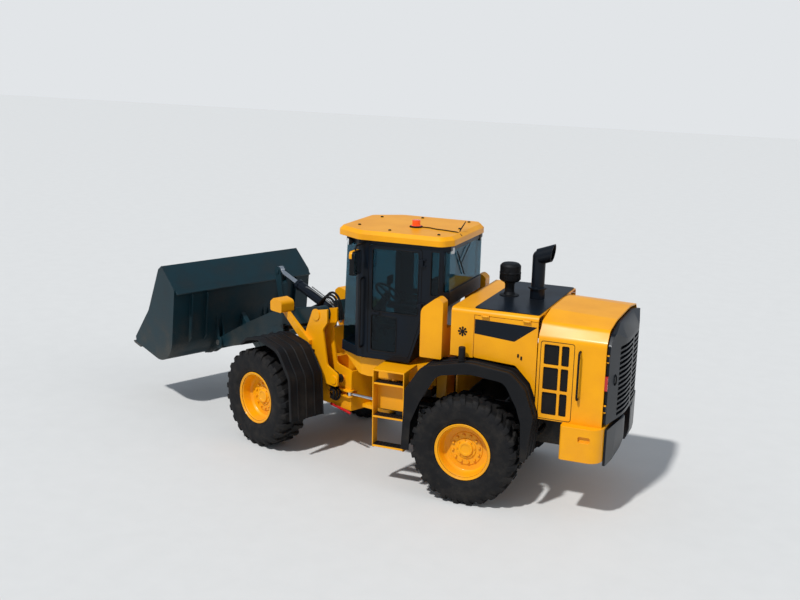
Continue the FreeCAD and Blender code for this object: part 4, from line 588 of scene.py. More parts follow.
# %% The tree that makes rings
def ring_tree():
    tree = bpy.data.node_groups.new("ring_of_copies", "GeometryNodeTree")
    for label, kind in (
        ("Copy", "NodeSocketObject"),
        ("Count", "NodeSocketInt"),
        ("Radius", "NodeSocketFloat"),
        ("Start", "NodeSocketFloat"),
        ("Finish", "NodeSocketMaterial"),
    ):
        tree.interface.new_socket(label, in_out="INPUT", socket_type=kind)
    tree.interface.new_socket("Geometry", in_out="OUTPUT", socket_type="NodeSocketGeometry")

    def add(kind, **links):
        """Adds a node. An input is named with underscores for spaces."""
        node = tree.nodes.new(kind)
        for key, source in links.items():
            socket = node.inputs[key.replace("_", " ")]
            if isinstance(source, bpy.types.NodeSocket):
                tree.links.new(source, socket)
            else:
                socket.default_value = source
        return node

    def sum_of(operation, *terms):
        """Adds a Math node whose inputs go by number."""
        node = tree.nodes.new("ShaderNodeMath")
        node.operation = operation
        for number, term in enumerate(terms):
            if isinstance(term, bpy.types.NodeSocket):
                tree.links.new(term, node.inputs[number])
            else:
                node.inputs[number].default_value = term
        return node.outputs[0]

    given = add("NodeGroupInput").outputs
    share = sum_of("DIVIDE", add("GeometryNodeInputIndex").outputs[0], given["Count"])
    turn = sum_of("MULTIPLY_ADD", share, 2 * math.pi, given["Start"])
    across = sum_of("MULTIPLY", sum_of("COSINE", turn), given["Radius"])
    up = sum_of("MULTIPLY", sum_of("SINE", turn), given["Radius"])
    spot = add("ShaderNodeCombineXYZ", X=across, Y=up).outputs[0]
    spin = add("ShaderNodeCombineXYZ", Z=turn).outputs[0]
    points = add("GeometryNodePoints", Count=given["Count"], Position=spot).outputs[0]
    source = add("GeometryNodeObjectInfo", Object=given["Copy"]).outputs["Geometry"]
    copies = add("GeometryNodeInstanceOnPoints", Points=points, Instance=source, Rotation=spin).outputs[0]
    real = add("GeometryNodeRealizeInstances", Geometry=copies).outputs[0]
    done = add("GeometryNodeSetMaterial", Geometry=real, Material=given["Finish"]).outputs[0]
    add("NodeGroupOutput", Geometry=done)
    return tree


RING = ring_tree()
RING_INPUT = {item.name: item.identifier for item in RING.interface.items_tree if item.in_out == "INPUT"}


def ring(work, copy, count, radius, finish, turns):
    """Adds rings of copies of a small mesh, one for each (place, start angle), and frees the small mesh."""
    bmesh.ops.recalc_face_normals(copy, faces=copy.faces)
    mesh = bpy.data.meshes.new("copy")
    copy.to_mesh(mesh)
    copy.free()
    source = new_object("copy", mesh)
    for place, start in turns:
        carrier = new_object("carrier", bpy.data.meshes.new("carrier"))
        nodes = carrier.modifiers.new("ring", "NODES")
        nodes.node_group = RING
        given = {"Copy": source, "Count": count, "Radius": radius, "Start": start, "Finish": finish}
        for label, value in given.items():
            nodes[RING_INPUT[label]] = value
        bpy.context.view_layer.update()
        shown = carrier.evaluated_get(bpy.context.evaluated_depsgraph_get())
        made = bpy.data.meshes.new_from_object(shown)
        made.transform(place)
        work.from_mesh(made)
        bpy.data.objects.remove(carrier)
        bpy.data.meshes.remove(made)
    bpy.data.objects.remove(source)
    bpy.data.meshes.remove(mesh)

# %% [markdown]
# ## Wheels
#
# A loader tyre is moulded in one piece: a thick carcass whose sidewall bulges between bead and
# shoulder, and deep bars that run from the middle of the tread over the shoulder. The carcass is spun
# from its section. One bar is lofted with broken edges, lies on the tyre's round, and is repeated in
# two rows half a pitch apart.

# %% Tyre
TREAD_BASE = WHEEL_RADIUS - 0.030
BARS_A_SIDE = 25
BAR_CHAMFER = 0.006
TRACK_HALF = 0.935
AXLE_X = 1.45


def tyre_section():
    """Half of the tyre's section, from the bead to the tread's middle, as (radius, along)."""
    side = fillet(
        [
            (0.3180, 0.1776),
            (0.3600, 0.1776, 0.006),
            (0.3720, 0.1900, 0.008),
            (0.3900, 0.1950, 0.010),
            (0.4256, 0.2150, 0.060),
            (0.5300, 0.2222, 0.120),
            (0.5900, 0.2150, 0.060),
            (TREAD_BASE - 0.002, 0.1800, 0.030),
            (TREAD_BASE, 0.0),
        ],
        steps=5,
        closed=False,
    )
    return [(p.x, p.y) for p in side]


def bar_loft():
    """One bar along Z, lying on the tyre's round, with X outward from the axle."""
    work = bmesh.new()
    # Along the axle, top radius, base radius, half width, and how far the middle is pushed round the tyre
    stations = [
        (0.004, WHEEL_RADIUS, TREAD_BASE - 0.02, 0.026, -0.004),
        (0.045, WHEEL_RADIUS, TREAD_BASE - 0.02, 0.033, -0.018),
        (0.070, WHEEL_RADIUS, TREAD_BASE - 0.02, 0.026, -0.033),
        (0.105, WHEEL_RADIUS, TREAD_BASE - 0.02, 0.028, -0.042),
        (0.130, WHEEL_RADIUS, TREAD_BASE - 0.02, 0.036, -0.048),
        (0.176, WHEEL_RADIUS - 0.001, TREAD_BASE - 0.03, 0.036, -0.060),
        (0.192, WHEEL_RADIUS - 0.014, TREAD_BASE - 0.06, 0.034, -0.064),
        (0.212, 0.622, 0.580, 0.030, -0.068),
        (0.2165, 0.596, 0.576, 0.026, -0.070),
    ]
    rings = []
    for along, top, base, half, push in stations:
        step = min(BAR_CHAMFER, (top - base) * 0.3)
        right = [(half - step, top), (half, top - step), (half + 0.003, base)]
        shape = [(-across, radius) for across, radius in reversed(right)] + right
        ring_verts = []
        for across, radius in shape:
            t = across + push
            ring_verts.append(work.verts.new((math.sqrt(radius**2 - t**2), t, along)))
        rings.append(ring_verts)
    for low, high in zip(rings, rings[1:]):
        for i in range(len(low)):
            j = (i + 1) % len(low)
            work.faces.new([low[i], low[j], high[j], high[i]])
    work.faces.new(rings[0])
    work.faces.new(rings[-1])
    return work


def wheel_place(half, x, side):
    """Puts the wheel's own Z axis along the axle, outward, with X forward."""
    along = Matrix(((1, 0, 0, 0), (0, 0, side, 0), (0, -1, 0, 0), (0, 0, 0, 1)))
    centre = Vector((x, side * TRACK_HALF, WHEEL_RADIUS))
    return half @ Matrix.Translation(centre) @ along


WHEELS = {
    end + "_" + hand: wheel_place(half, x, side)
    for end, half, x in (("front", FRONT, AXLE_X), ("rear", REAR, -AXLE_X))
    for side, hand in HANDS.items()
}
WHEEL_SMOOTH = math.radians(35)


def tyre(name, place):
    half = tyre_section()
    whole = half + [(r, -a) for r, a in reversed(half[:-1])]
    work = bmesh.new()
    lathe(work, whole, (0, 0, 0), "z", place, 96)
    flip = Matrix.Diagonal((1, 1, -1, 1))
    half_pitch = math.pi / BARS_A_SIDE
    quarter = math.pi / 2
    rows = [(place, quarter), (place @ flip, quarter + half_pitch)]
    ring(work, bar_loft(), BARS_A_SIDE, 0.0, tyre_black, rows)
    node = "tyre_" + name
    piece(node + "_tread", work, tyre_black, "wheel_" + name, [node], WHEEL_SMOOTH)


for name, place in WHEELS.items():
    tyre(name, place)
print("tyres done")

# %% [markdown]
# The rim is rolled from plate: a flange, a drop behind it, and a welded disc. The hub shows through the
# disc with its ring of bolts, and its cap covers the planetary gears.

# %% Rims
RIM_EDGE = 0.190
RIM_FACE = RIM_EDGE - 0.165


def rim(name, place):
    section = [
        (0.150, -0.150),
        (0.150, RIM_FACE - 0.020),
        (0.291, RIM_FACE - 0.018, 0.010),
        (0.3055, RIM_FACE - 0.060),
        (0.3055, -RIM_EDGE),
        (0.3556, -RIM_EDGE, 0.006),
        (0.3556, -RIM_EDGE + 0.012, 0.004),
        (0.3175, -RIM_EDGE + 0.012),
        (0.3175, RIM_EDGE - 0.012),
        (0.3400, RIM_EDGE - 0.012, 0.004),
        (0.3556, RIM_EDGE - 0.010, 0.005),
        (0.3556, RIM_EDGE, 0.005),
        (0.3420, RIM_EDGE, 0.004),
        (0.3380, RIM_EDGE - 0.006, 0.003),
        (0.3240, RIM_EDGE - 0.006, 0.004),
        (0.3090, RIM_EDGE - 0.030, 0.010),
        (0.3000, RIM_FACE + 0.030, 0.020),
        (0.2800, RIM_FACE, 0.012),
        (0.2120, RIM_FACE, 0.004),
        (0.2060, RIM_FACE + 0.010, 0.004),
        (0.1300, RIM_FACE + 0.010, 0.004),
        (0.1240, RIM_FACE + 0.022, 0.004),
        (0.0950, RIM_FACE + 0.022, 0.006),
        (0.0880, RIM_FACE + 0.044, 0.006),
        (0.0600, RIM_FACE + 0.044, 0.003),
        (0.0560, RIM_FACE + 0.038, 0.003),
        (0.0, RIM_FACE + 0.038),
    ]
    work = bmesh.new()
    lathe(work, [(p.x, p.y) for p in fillet(section, 4, closed=False)], (0, 0, 0), "z", place, 80)
    node = "rim_" + name
    piece(node + "_dish", work, paint_wheel, "wheel_" + name, [node], WHEEL_SMOOTH)

    studs = bmesh.new()
    # Height of the seat, size, head's height, number, radius of the circle and angle of the first
    circles = ((0.010, 0.016, 0.022, 12, 0.172, 0.2), (0.022, 0.008, 0.010, 8, 0.110, 0.1))
    for seat, size, height, count, radius, start in circles:
        stud = bmesh.new()
        bolt(stud, RIM_FACE + seat, size, height)
        ring(studs, stud, count, radius, paint_wheel, [(place, start)])
    piece(node + "_studs", studs, paint_wheel, "wheel_" + name)


for name, place in WHEELS.items():
    rim(name, place)
print("rims done")

# %% [markdown]
# ## On the bonnet
#
# The air cleaner's inlet stands on a short pipe. Its drum has a ring of slots round the lower half,
# where the air goes in, and a cap held by a clip.

# %% Air inlet
PRECLEANER = (-1.610, 0.0, 0.0)
DECK_Z = 2.4126


def air_inlet():
    section = fillet(
        [
            (0.0, DECK_Z),
            (0.122, DECK_Z),
            (0.122, DECK_Z + 0.008, 0.003),
            (0.075, DECK_Z + 0.014, 0.006),
            (0.060, DECK_Z + 0.050, 0.015),
            (0.060, 2.560),
            (0.068, 2.562, 0.002),
            (0.068, 2.584, 0.002),
            (0.100, 2.588, 0.010),
            (0.128, 2.610, 0.010),
            (0.130, 2.690, 0.003),
            (0.135, 2.694, 0.003),
            (0.135, 2.706, 0.003),
            (0.130, 2.710, 0.003),
            (0.131, 2.790, 0.020),
            (0.100, 2.822, 0.030),
            (0.0, 2.829),
        ],
        5,
        closed=False,
    )
    work = bmesh.new()
    lathe(work, [(p.x, p.y) for p in section], PRECLEANER, "z", REAR, 64)
    vane = bmesh.new()
    blade = [(0.122, -0.006), (0.1335, -0.004), (0.1335, 0.002), (0.122, 0.004)]
    slab(vane, blade, "xy", 2.618, 2.684, PLAIN, 0.001)
    ring(work, vane, 32, 0.0, black_plastic, [(REAR @ Matrix.Translation(PRECLEANER), 0.0)])
    block(work, -1.630, -1.590, 0.126, 0.137, 2.690, 2.760)
    piece("precleaner_drum", work, black_plastic, covers=["precleaner"])


air_inlet()

# %% [markdown]
# A dark band runs along each side door and narrows to a point at the back. It is a film on the paint,
# so it is a sheet about one millimetre proud. A round vent in front of it has eight petals, and two
# latches hold the door.

# %% Side bands, vents and latches
BAND = [
    (-1.470, 2.285),
    (-1.470, 2.108, 0.004),
    (-1.965, 2.068, 0.03),
    (-2.222, 2.262, 0.004),
    (-2.232, 2.272, 0.003),
]
HOOD_SIDE = 0.900
PETAL = [(0.026, -0.006), (0.056, -0.017, 0.012), (0.060, 0.0), (0.056, 0.017, 0.012), (0.026, 0.006)]
HUB = [(0.024, 0.0), (0.024, 0.008, 0.003), (0.0, 0.009)]
LATCHES = ((-2.020, 1.905), (-2.060, 1.880))


def side_band(side, hand):
    work = bmesh.new()
    slab(work, BAND, "xz", side * HOOD_SIDE, side * (HOOD_SIDE + 0.0012), edge=0.0)
    piece("side_band_" + hand, work, paint_slate, "engine_door_" + hand)


def petal_vent(side, hand):
    """Eight dark petals round a button, in a shallow ring."""
    work = bmesh.new()
    face = REAR @ Matrix.Translation((-1.320, side * (HOOD_SIDE + 0.0005), 2.115))
    place = face @ Matrix(((1, 0, 0, 0), (0, 0, side, 0), (0, -1, 0, 0), (0, 0, 0, 1)))
    petal = bmesh.new()
    slab(petal, PETAL, "xy", 0, 0.004, PLAIN, 0.001)
    ring(work, petal, 8, 0.0, black_plastic, [(place, 0.0)])
    hub = fillet(HUB, 3, closed=False)
    lathe(work, [(p.x, p.y) for p in hub], (0, 0, 0), "z", place, 32)
    piece("petal_vent_" + hand, work, black_plastic)


def latches(side, hand):
    work = bmesh.new()
    for x, z in LATCHES:
        outline = rect(x - 0.010, x + 0.010, z - 0.022, z + 0.022, 0.008)
        slab(work, outline, "xz", side * HOOD_SIDE, side * (HOOD_SIDE + 0.008), edge=0.002)
    piece("latches_" + hand, work, black_plastic, "engine_door_" + hand)


for side, hand in HANDS.items():
    side_band(side, hand)
    petal_vent(side, hand)
    latches(side, hand)

# %% [markdown]
# Behind each vent is a screen of crossed wires, which keeps leaves out of the cooler.

# %% Vent mesh
VENT_ROWS = ((1.235, 1.510), (1.540, 1.815), (1.845, 2.090))
VENT_COLUMNS = ((-2.510, -2.330), (-2.630, -2.540))
VENT_PLANE = 0.880
VENT_LAP = 0.008
WIRE = 0.004
WIRE_PITCH = 0.020


def wires(low, high):
    """The places of thin wires that fill a window from low to high."""
    count = round((high - low) / WIRE_PITCH)
    return [low + (i + 0.5) * (high - low) / count for i in range(count)]


def vent_mesh(side, hand):
    """Thin flat wires behind the windows, in both directions."""
    work = bmesh.new()
    level = reach(side, VENT_PLANE - 0.001, VENT_PLANE)
    upright = reach(side, VENT_PLANE - 0.0015, VENT_PLANE - 0.0005)
    for z0, z1 in VENT_ROWS:
        for x0, x1 in VENT_COLUMNS:
            for z in wires(z0, z1):
                block(work, x0 - VENT_LAP, x1 + VENT_LAP, *level, z, z + WIRE, edge=0.0)
            for x in wires(x0, x1):
                block(work, x, x + WIRE, *upright, z0 - VENT_LAP, z1 + VENT_LAP, edge=0.0)
    piece("vent_mesh_" + hand, work, black_plastic, slot="dark_slate")


for side, hand in HANDS.items():
    vent_mesh(side, hand)

# %% [markdown]
# ## The operator's place
#
# The seat is foam under woven cloth: a cushion with raised sides, a tall back and a headrest. Foam
# bulges between its seams, so each cushion starts as a rounded block that is blown up a little as
# cloth, and the seam lines come after.

# %% Cushions
# Low and high corners, lean in degrees, and the cross seam's axis and distance from the low corner
CUSHIONS = {
    "seat_cushion": ((-0.515, -0.245, 1.885), (-0.030, 0.245, 1.990), 3.0, 0, 0.16),
    "seat_back": ((-0.575, -0.235, 1.960), (-0.470, 0.235, 2.520), 10.0, 2, 0.30),
}
CUSHION_CUTS = 14
CUSHION_SMOOTH = math.radians(60)
SOFT_EDGE = 0.035
SWELL_LIMIT = 0.010
SWELL_FRAMES = 16
SIDE_SEAM = 0.150
SEAM_DEPTH = 0.007
SEAM_WIDTH = 0.014


def rounded_block(low, high, radius, cuts):
    """A box with soft edges and enough faces to bulge."""
    work = bmesh.new()
    bmesh.ops.create_cube(work, size=1.0)
    size = Vector(high) - Vector(low)
    centre = (Vector(high) + Vector(low)) / 2
    bmesh.ops.scale(work, vec=size, verts=work.verts)
    bmesh.ops.subdivide_edges(work, edges=work.edges, cuts=cuts, use_grid_fill=True)
    half = size / 2
    for vert in work.verts:
        inner = Vector([max(-h + radius, min(h - radius, c)) for h, c in zip(half, vert.co)])
        out = vert.co - inner
        if out.length > 1e-6:
            vert.co = inner + out.normalized() * min(out.length, radius)
        vert.co += centre
    return work


def swell(obj, limit):
    """Blows a closed form up as cloth and keeps every point within the limit of where it began."""
    rest = [v.co.copy() for v in obj.data.vertices]
    cover = obj.modifiers.new("cloth", "CLOTH")
    cover.settings.use_pressure = True
    cover.settings.uniform_pressure_force = 4.0
    cover.settings.effector_weights.gravity = 0.0
    cover.settings.quality = 5
    cover.point_cache.frame_end = SWELL_FRAMES
    scene = bpy.context.scene
    for number in range(1, SWELL_FRAMES + 1):
        scene.frame_set(number)
    shown = obj.evaluated_get(bpy.context.evaluated_depsgraph_get())
    places = [v.co.copy() for v in shown.data.vertices]
    obj.modifiers.remove(cover)
    for vert, start, end in zip(obj.data.vertices, rest, places):
        move = end - start
        vert.co = start + move * min(1.0, limit / max(move.length, 1e-9))
    scene.frame_set(1)


def cushion(name):
    low, high, lean, along, seam = CUSHIONS[name]
    work = rounded_block(low, high, SOFT_EDGE, CUSHION_CUTS)
    pivot = Vector((low[0], 0, low[2]))
    tilt = Matrix.Rotation(math.radians(-lean), 4, "Y")
    place = REAR @ Matrix.Translation(pivot) @ tilt @ Matrix.Translation(-pivot)
    bmesh.ops.transform(work, matrix=place, verts=work.verts)
    mesh = bpy.data.meshes.new(name)
    work.to_mesh(mesh)
    work.free()
    made = new_object(name, mesh)
    swell(made, SWELL_LIMIT)
    back = place.inverted()
    cross_seam = low[along] + seam
    for vert in mesh.vertices:
        spot = back @ vert.co
        off = min(abs(abs(spot.y) - SIDE_SEAM), abs(spot[along] - cross_seam))
        vert.co -= vert.normal * SEAM_DEPTH * math.exp(-((off / SEAM_WIDTH) ** 2))
    soft = made.modifiers.new("soft", "SUBSURF")
    soft.levels = 1
    soft.render_levels = 1
    bpy.context.view_layer.update()
    shown = made.evaluated_get(bpy.context.evaluated_depsgraph_get())
    finer = bpy.data.meshes.new_from_object(shown)
    made.modifiers.clear()
    made.data = finer
    bpy.data.meshes.remove(mesh)
    smooth_by_angle(finer, CUSHION_SMOOTH)
    finer.materials.clear()
    finer.materials.append(seat_cloth)
    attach(made, "rear_half")


for name in CUSHIONS:
    cushion(name)
print("cushions", len(CUSHIONS))

# %% [markdown]
# Under the cushions is a suspension base with a rubber bellows, and beside them are arm rests. On the
# right stands a console with the lift levers. These are moulded in black plastic, with rounded edges
# where hands reach.

# %% Seat base, arm rests, levers and display
SEAT_MIDDLE = -0.27
BELLOWS_LOW, BELLOWS_PITCH = 1.665, 0.030
LEVERS = ((0.020, -0.400), (0.020, -0.460), (-0.040, -0.430))
LEVER = [(0.006, 2.060), (0.006, 2.150), (0.016, 2.160), (0.018, 2.185), (0.010, 2.205), (0.0, 2.208)]
LEVER_BOX = [(-0.420, 1.700, 0.02), (0.060, 1.700, 0.05), (0.100, 2.080, 0.06), (-0.420, 2.060, 0.04)]
PEDAL = [(0.100, 1.640), (0.112, 1.636), (0.170, 1.740), (0.158, 1.746)]
PEDAL_WIDTH = 0.070


def seat_base():
    work = bmesh.new()
    slab(work, rect(-0.440, -0.120, -0.170, 0.170, 0.02), "xy", 1.6055, 1.660)
    bellows = [(0.0, 1.660)]
    for i in range(7):
        z = BELLOWS_LOW + i * BELLOWS_PITCH
        bellows += [(0.150, z), (0.172, z + BELLOWS_PITCH / 2)]
    lathe(work, bellows + [(0.150, 1.875), (0.0, 1.875)], (SEAT_MIDDLE, 0, 0), steps=40)
    slab(work, rect(-0.500, -0.040, -0.230, 0.230, 0.04), "xy", 1.862, 1.886)
    for side in HANDS:
        rest = rect(-0.470, -0.080, 2.140, 2.195, (0.02, 0.03, 0.03, 0.02))
        slab(work, rest, "xz", *reach(side, 0.262, 0.322))
        post = rect(-0.480, -0.430, 2.100, 2.190, (0.01, 0.01, 0.02, 0.02))
        slab(work, post, "xz", *reach(side, 0.225, 0.262))
    piece("seat_base", work, black_plastic, covers=["seat"])


def levers():
    work = bmesh.new()
    slab(work, LEVER_BOX, "xz", -0.500, -0.360)
    for x, y in LEVERS:
        lathe(work, LEVER, (x, y, 0))
    slab(work, rect(0.200, 0.230, -0.560, -0.400, 0.01), "xy", 2.260, 2.380)
    block(work, 0.208, 0.226, -0.495, -0.465, 1.960, 2.262)
    piece("lever_console", work, black_plastic)


def pedal(name, y):
    work = bmesh.new()
    slab(work, PEDAL, "xz", y, y + PEDAL_WIDTH)
    piece(name, work, black_rubber)


seat_base()
levers()
pedal("pedal_left", 0.140)
pedal("pedal_right", -0.190)
print("operator's place done")

# %% [markdown]
# ## On the cab
#
# The panes are bonded behind a black seal. The door has a latch plate between its panes, each screen a
# wiper, and under the roof's edge hang work lamps on short brackets.

# %% Seals and latch
CAB_SIDE = 0.700
FLOOR_Z, EAVES_Z = 1.560, 3.070
# Shares of the cab's height, from floor to eaves
LOWER_PANE = (0.0695, 0.374)
UPPER_PANE = (0.407, 0.937)
QUARTER_HEIGHTS = (0.589, 0.9536)
DOOR_LOW, DOOR_KINK, DOOR_HIGH = 0.04, 0.371, 0.9636
DOOR_INSET = 0.006


def cab_z(share):
    return FLOOR_Z + share * (EAVES_Z - FLOOR_Z)


def pane(x0, x1, heights, radius):
    return rect(x0, x1, cab_z(heights[0]), cab_z(heights[1]), radius)


DOOR_PANES = [pane(-0.035, -0.655, UPPER_PANE, 0.04), pane(-0.035, -0.380, LOWER_PANE, 0.03)]
QUARTER_PANE = pane(-0.815, -0.925, QUARTER_HEIGHTS, 0.02)
DOOR_EDGE = [
    (0.009, cab_z(DOOR_LOW) + DOOR_INSET, 0.03),
    (0.009, cab_z(DOOR_HIGH) - DOOR_INSET, 0.04),
    (-0.694, cab_z(DOOR_HIGH) - DOOR_INSET, 0.04),
    (-0.694, cab_z(DOOR_KINK), 0.04),
    (-0.545, cab_z(DOOR_LOW) + DOOR_INSET, 0.04),
]


def seals(name, outlines, side, body="rear_half", radius=0.007, wall=CAB_SIDE):
    """Rubber strips round panes, doors or panels, sunk a millimetre into a side wall."""
    routes = []
    for outline in outlines:
        path = [(p.x, side * (wall - 0.001), p.y) for p in fillet(outline, 6)]
        routes.append(path + path[:2])
    swept(name, routes, radius, black_rubber, body)


def latch_plate():
    middle = (cab_z(LOWER_PANE[1]) + cab_z(UPPER_PANE[0])) / 2
    work = bmesh.new()
    plate = rect(-0.185, -0.030, middle - 0.024, middle + 0.024, 0.02)
    slab(work, plate, "xz", CAB_SIDE, CAB_SIDE + 0.004)
    piece("door_latch_plate", work, black_plastic, "cab_door")


seals("door_pane_seals", DOOR_PANES, 1, "cab_door")
seals("door_edge_seal", [DOOR_EDGE], 1, "cab_door", 0.004)
seals("quarter_seal_left", [QUARTER_PANE], 1)
seals("side_pane_seals", DOOR_PANES + [QUARTER_PANE], -1)
latch_plate()

# %% [markdown]
# A wiper is an arm from its spindle to the middle of a rubber blade. The lamps are square, with a clear
# lens.

# %% Wipers and work lamps
WIPER_THICK = 0.006
LAMP_Z = 3.005
LAMP_CASE = [(-0.034, -0.020, 0.012), (0.014, -0.045, 0.012), (0.014, 0.045, 0.012), (-0.034, 0.020, 0.012)]


def wiper(name, arm, blade):
    swept(name + "_arm", [arm], WIPER_THICK, black_plastic)
    swept(name + "_blade", [blade], WIPER_THICK * 1.3, black_rubber)


def work_lamp(name, x, y, yaw):
    """A square lamp on a short bracket under the eaves, facing outward."""
    turn = Matrix.Rotation(math.radians(yaw), 4, "Z")
    place = REAR @ Matrix.Translation((x, y, LAMP_Z)) @ turn
    case = bmesh.new()
    slab(case, LAMP_CASE, "xz", -0.052, 0.052, place)
    block(case, -0.010, 0.010, -0.012, 0.012, 0.040, EAVES_Z - 0.0005 - LAMP_Z, place)
    piece(name + "_case", case, black_plastic)
    face = bmesh.new()
    slab(face, rect(-0.044, 0.044, -0.038, 0.038, 0.008), "yz", 0.014, 0.019, place)
    piece(name + "_lens", face, clear_lens)


REAR_BLADE = [(-1.038, 0.10, 2.640), (-1.038, 0.40, 2.980)]
FRONT_BLADE = [(0.467, -0.20, 1.980), (0.443, -0.16, 2.560)]
wiper("rear_wiper", [(-1.042, -0.08, 3.010), (-1.042, 0.24, 2.800)], REAR_BLADE)
wiper("front_wiper", [(0.485, 0.05, 1.700), (0.465, -0.18, 2.240)], FRONT_BLADE)
for side, hand in HANDS.items():
    work_lamp("front_work_lamp_" + hand, 0.330, side * 0.600, side * 35)
    work_lamp("rear_work_lamp_" + hand, -1.010, side * 0.540, side * 160)

# %% [markdown]
# On the roof the beacon stands on a dark foot, and its cable runs back over the edge beside two short
# antennas. Dark caps cover the bolts that hold the roof down.

# %% On the roof
ROOF_Z = 3.185
BEACON = (-0.390, 0.150, 0)
# Forward, and to each side
BOLT_ROWS = ((0.30, 0.36), (-0.20, 0.56), (-0.85, 0.56))
BOLT_CAPS = [(x, side * y) for x, y in BOLT_ROWS for side in HANDS] + [(-0.92, 0.0)]
BOLT_CAP = [(0.020, 0.0), (0.020, 0.008), (0.013, 0.014), (0.0, 0.015)]
BEACON_FOOT = [(0.085, 0.0), (0.085, 0.012), (0.074, 0.018), (0.0705, 0.022), (0.0705, 0.008)]
CABLE = [
    (-0.47, 0.150, 3.192),
    (-0.56, 0.13, 3.192),
    (-0.66, 0.20, 3.192),
    (-0.78, 0.21, 3.192),
    (-0.93, 0.26, 3.192),
    (-1.00, 0.27, 3.192),
    (-1.050, 0.28, 3.150),
]
ANTENNAS = [[(-0.96, 0.10, 3.190), (-0.99, -0.02, 3.282)], [(-0.99, 0.20, 3.190), (-1.015, 0.11, 3.270)]]


def roof_caps():
    work = bmesh.new()
    for x, y in BOLT_CAPS:
        lathe(work, BOLT_CAP, (x, y, ROOF_Z))
    lathe(work, BEACON_FOOT, (BEACON[0], BEACON[1], ROOF_Z))
    piece("roof_caps", work, black_plastic)


roof_caps()
swept("beacon_cable", [CABLE], 0.007, black_rubber)
swept("antennas", ANTENNAS, 0.006, black_plastic)

# %% [markdown]
# Each mirror is a silvered glass in a black shell, with a yellow cap over the shell's front.

# %% Mirrors
MIRROR_X = 0.095
MIRROR_TOP = EAVES_Z - 0.105


def mirror(side, hand):
    work = bmesh.new()
    y0, y1 = reach(side, 0.818, 1.027)
    glass = rect(y0, y1, MIRROR_TOP - 0.287, MIRROR_TOP - 0.018, (0.02, 0.02, 0.03, 0.03))
    slab(work, glass, "yz", MIRROR_X - 0.032, MIRROR_X - 0.029)
    piece("mirror_glass_" + hand, work, mirror_glass)
    work = bmesh.new()
    y0, y1 = reach(side, 0.800, 1.045)
    cap = rect(y0, y1, MIRROR_TOP - 0.095, MIRROR_TOP, (0.02, 0.02, 0.04, 0.04))
    slab(work, cap, "yz", MIRROR_X - 0.005, MIRROR_X + 0.032)
    piece("mirror_cap_" + hand, work, paint_yellow)


for side, hand in HANDS.items():
    mirror(side, hand)
print("cab fittings done")

# %% [markdown]
# ## The rear door's lattice
#
# Behind the slots of the rear door stands a lattice of slanted bars. It follows the door's round, which
# is flat in the middle and bends away to both sides.

# %% Lattice
DOOR_BACK = -3.200
DOOR_FLAT, DOOR_BEND, BEND_REACH, BEND_DEPTH = 0.111, 1.400, 0.427, 0.067
DOOR_SLOPE = 0.321
LATTICE_LOW, LATTICE_HIGH = 1.225, 2.115
LATTICE_HALF = 0.575
LATTICE_PITCH = 0.075
LATTICE_SLANT = 0.9
LATTICE_BARS = 16
LATTICE_INSET, SCREEN_INSET = 0.031, 0.060
BAR_SECTION = ((0, -0.008), (0, 0.008), (0.012, 0.008), (0.012, -0.008))
SCREEN_THICK = 0.004


def door_depth(y):
    """How far the door's outer face lies behind the axis, at a distance from the middle."""
    across = abs(y) - DOOR_FLAT
    if across <= 0:
        return DOOR_BACK
    if across < BEND_REACH:
        return DOOR_BACK + DOOR_BEND - math.sqrt(DOOR_BEND**2 - across**2)
    return DOOR_BACK + BEND_DEPTH + (across - BEND_REACH) * DOOR_SLOPE


def spread(half, steps):
    """Evenly spaced places from -half to half."""
    return [half * (2 * k / steps - 1) for k in range(steps + 1)]


def lattice():
    work = bmesh.new()
    middle = (LATTICE_LOW + LATTICE_HIGH) / 2
    for slant in (LATTICE_SLANT, -LATTICE_SLANT):
        for i in range(-LATTICE_BARS, LATTICE_BARS + 1):
            line = []
            for y in spread(LATTICE_HALF, 32):
                z = middle + i * LATTICE_PITCH + slant * y
                if LATTICE_LOW <= z <= LATTICE_HIGH:
                    line.append((door_depth(y) + LATTICE_INSET, y, z))
            if len(line) < 2:
                continue
            rims = []
            for x, y, z in line:
                rims.append([work.verts.new(REAR @ Vector((x + d, y, z + e))) for d, e in BAR_SECTION])
            for a, b in zip(rims, rims[1:]):
                for n in range(4):
                    m = (n + 1) % 4
                    work.faces.new([a[n], a[m], b[m], b[n]])
            work.faces.new(rims[0])
            work.faces.new(rims[-1])
    piece("grille_lattice", work, black_plastic, "grille_door", slot="dark_slate")


def screen():
    """A thin dark sheet behind the lattice."""
    work = bmesh.new()
    rows = []
    for z in (LATTICE_LOW - 0.01, LATTICE_HIGH + 0.01):
        edge = [Vector((door_depth(y) + SCREEN_INSET, y, z)) for y in spread(LATTICE_HALF + 0.005, 24)]
        rows.append([work.verts.new(REAR @ spot) for spot in edge])
    low, high = rows
    for k in range(len(low) - 1):
        work.faces.new([low[k], low[k + 1], high[k + 1], high[k]])
    extruded = bmesh.ops.extrude_face_region(work, geom=work.faces[:])
    moved = [v for v in extruded["geom"] if isinstance(v, bmesh.types.BMVert)]
    bmesh.ops.translate(work, verts=moved, vec=(SCREEN_THICK, 0, 0))
    piece("grille_screen", work, black_rubber, "grille_door", slot="dark_slate")


lattice()
screen()
GRIP = [
    (-3.112, 0.660, 1.62),
    (-3.145, 0.665, 1.64),
    (-3.150, 0.665, 1.70),
    (-3.145, 0.665, 1.76),
    (-3.112, 0.660, 1.78),
]
swept("grille_grip", [GRIP], 0.009, black_plastic, "grille_door", slot="dark_slate")

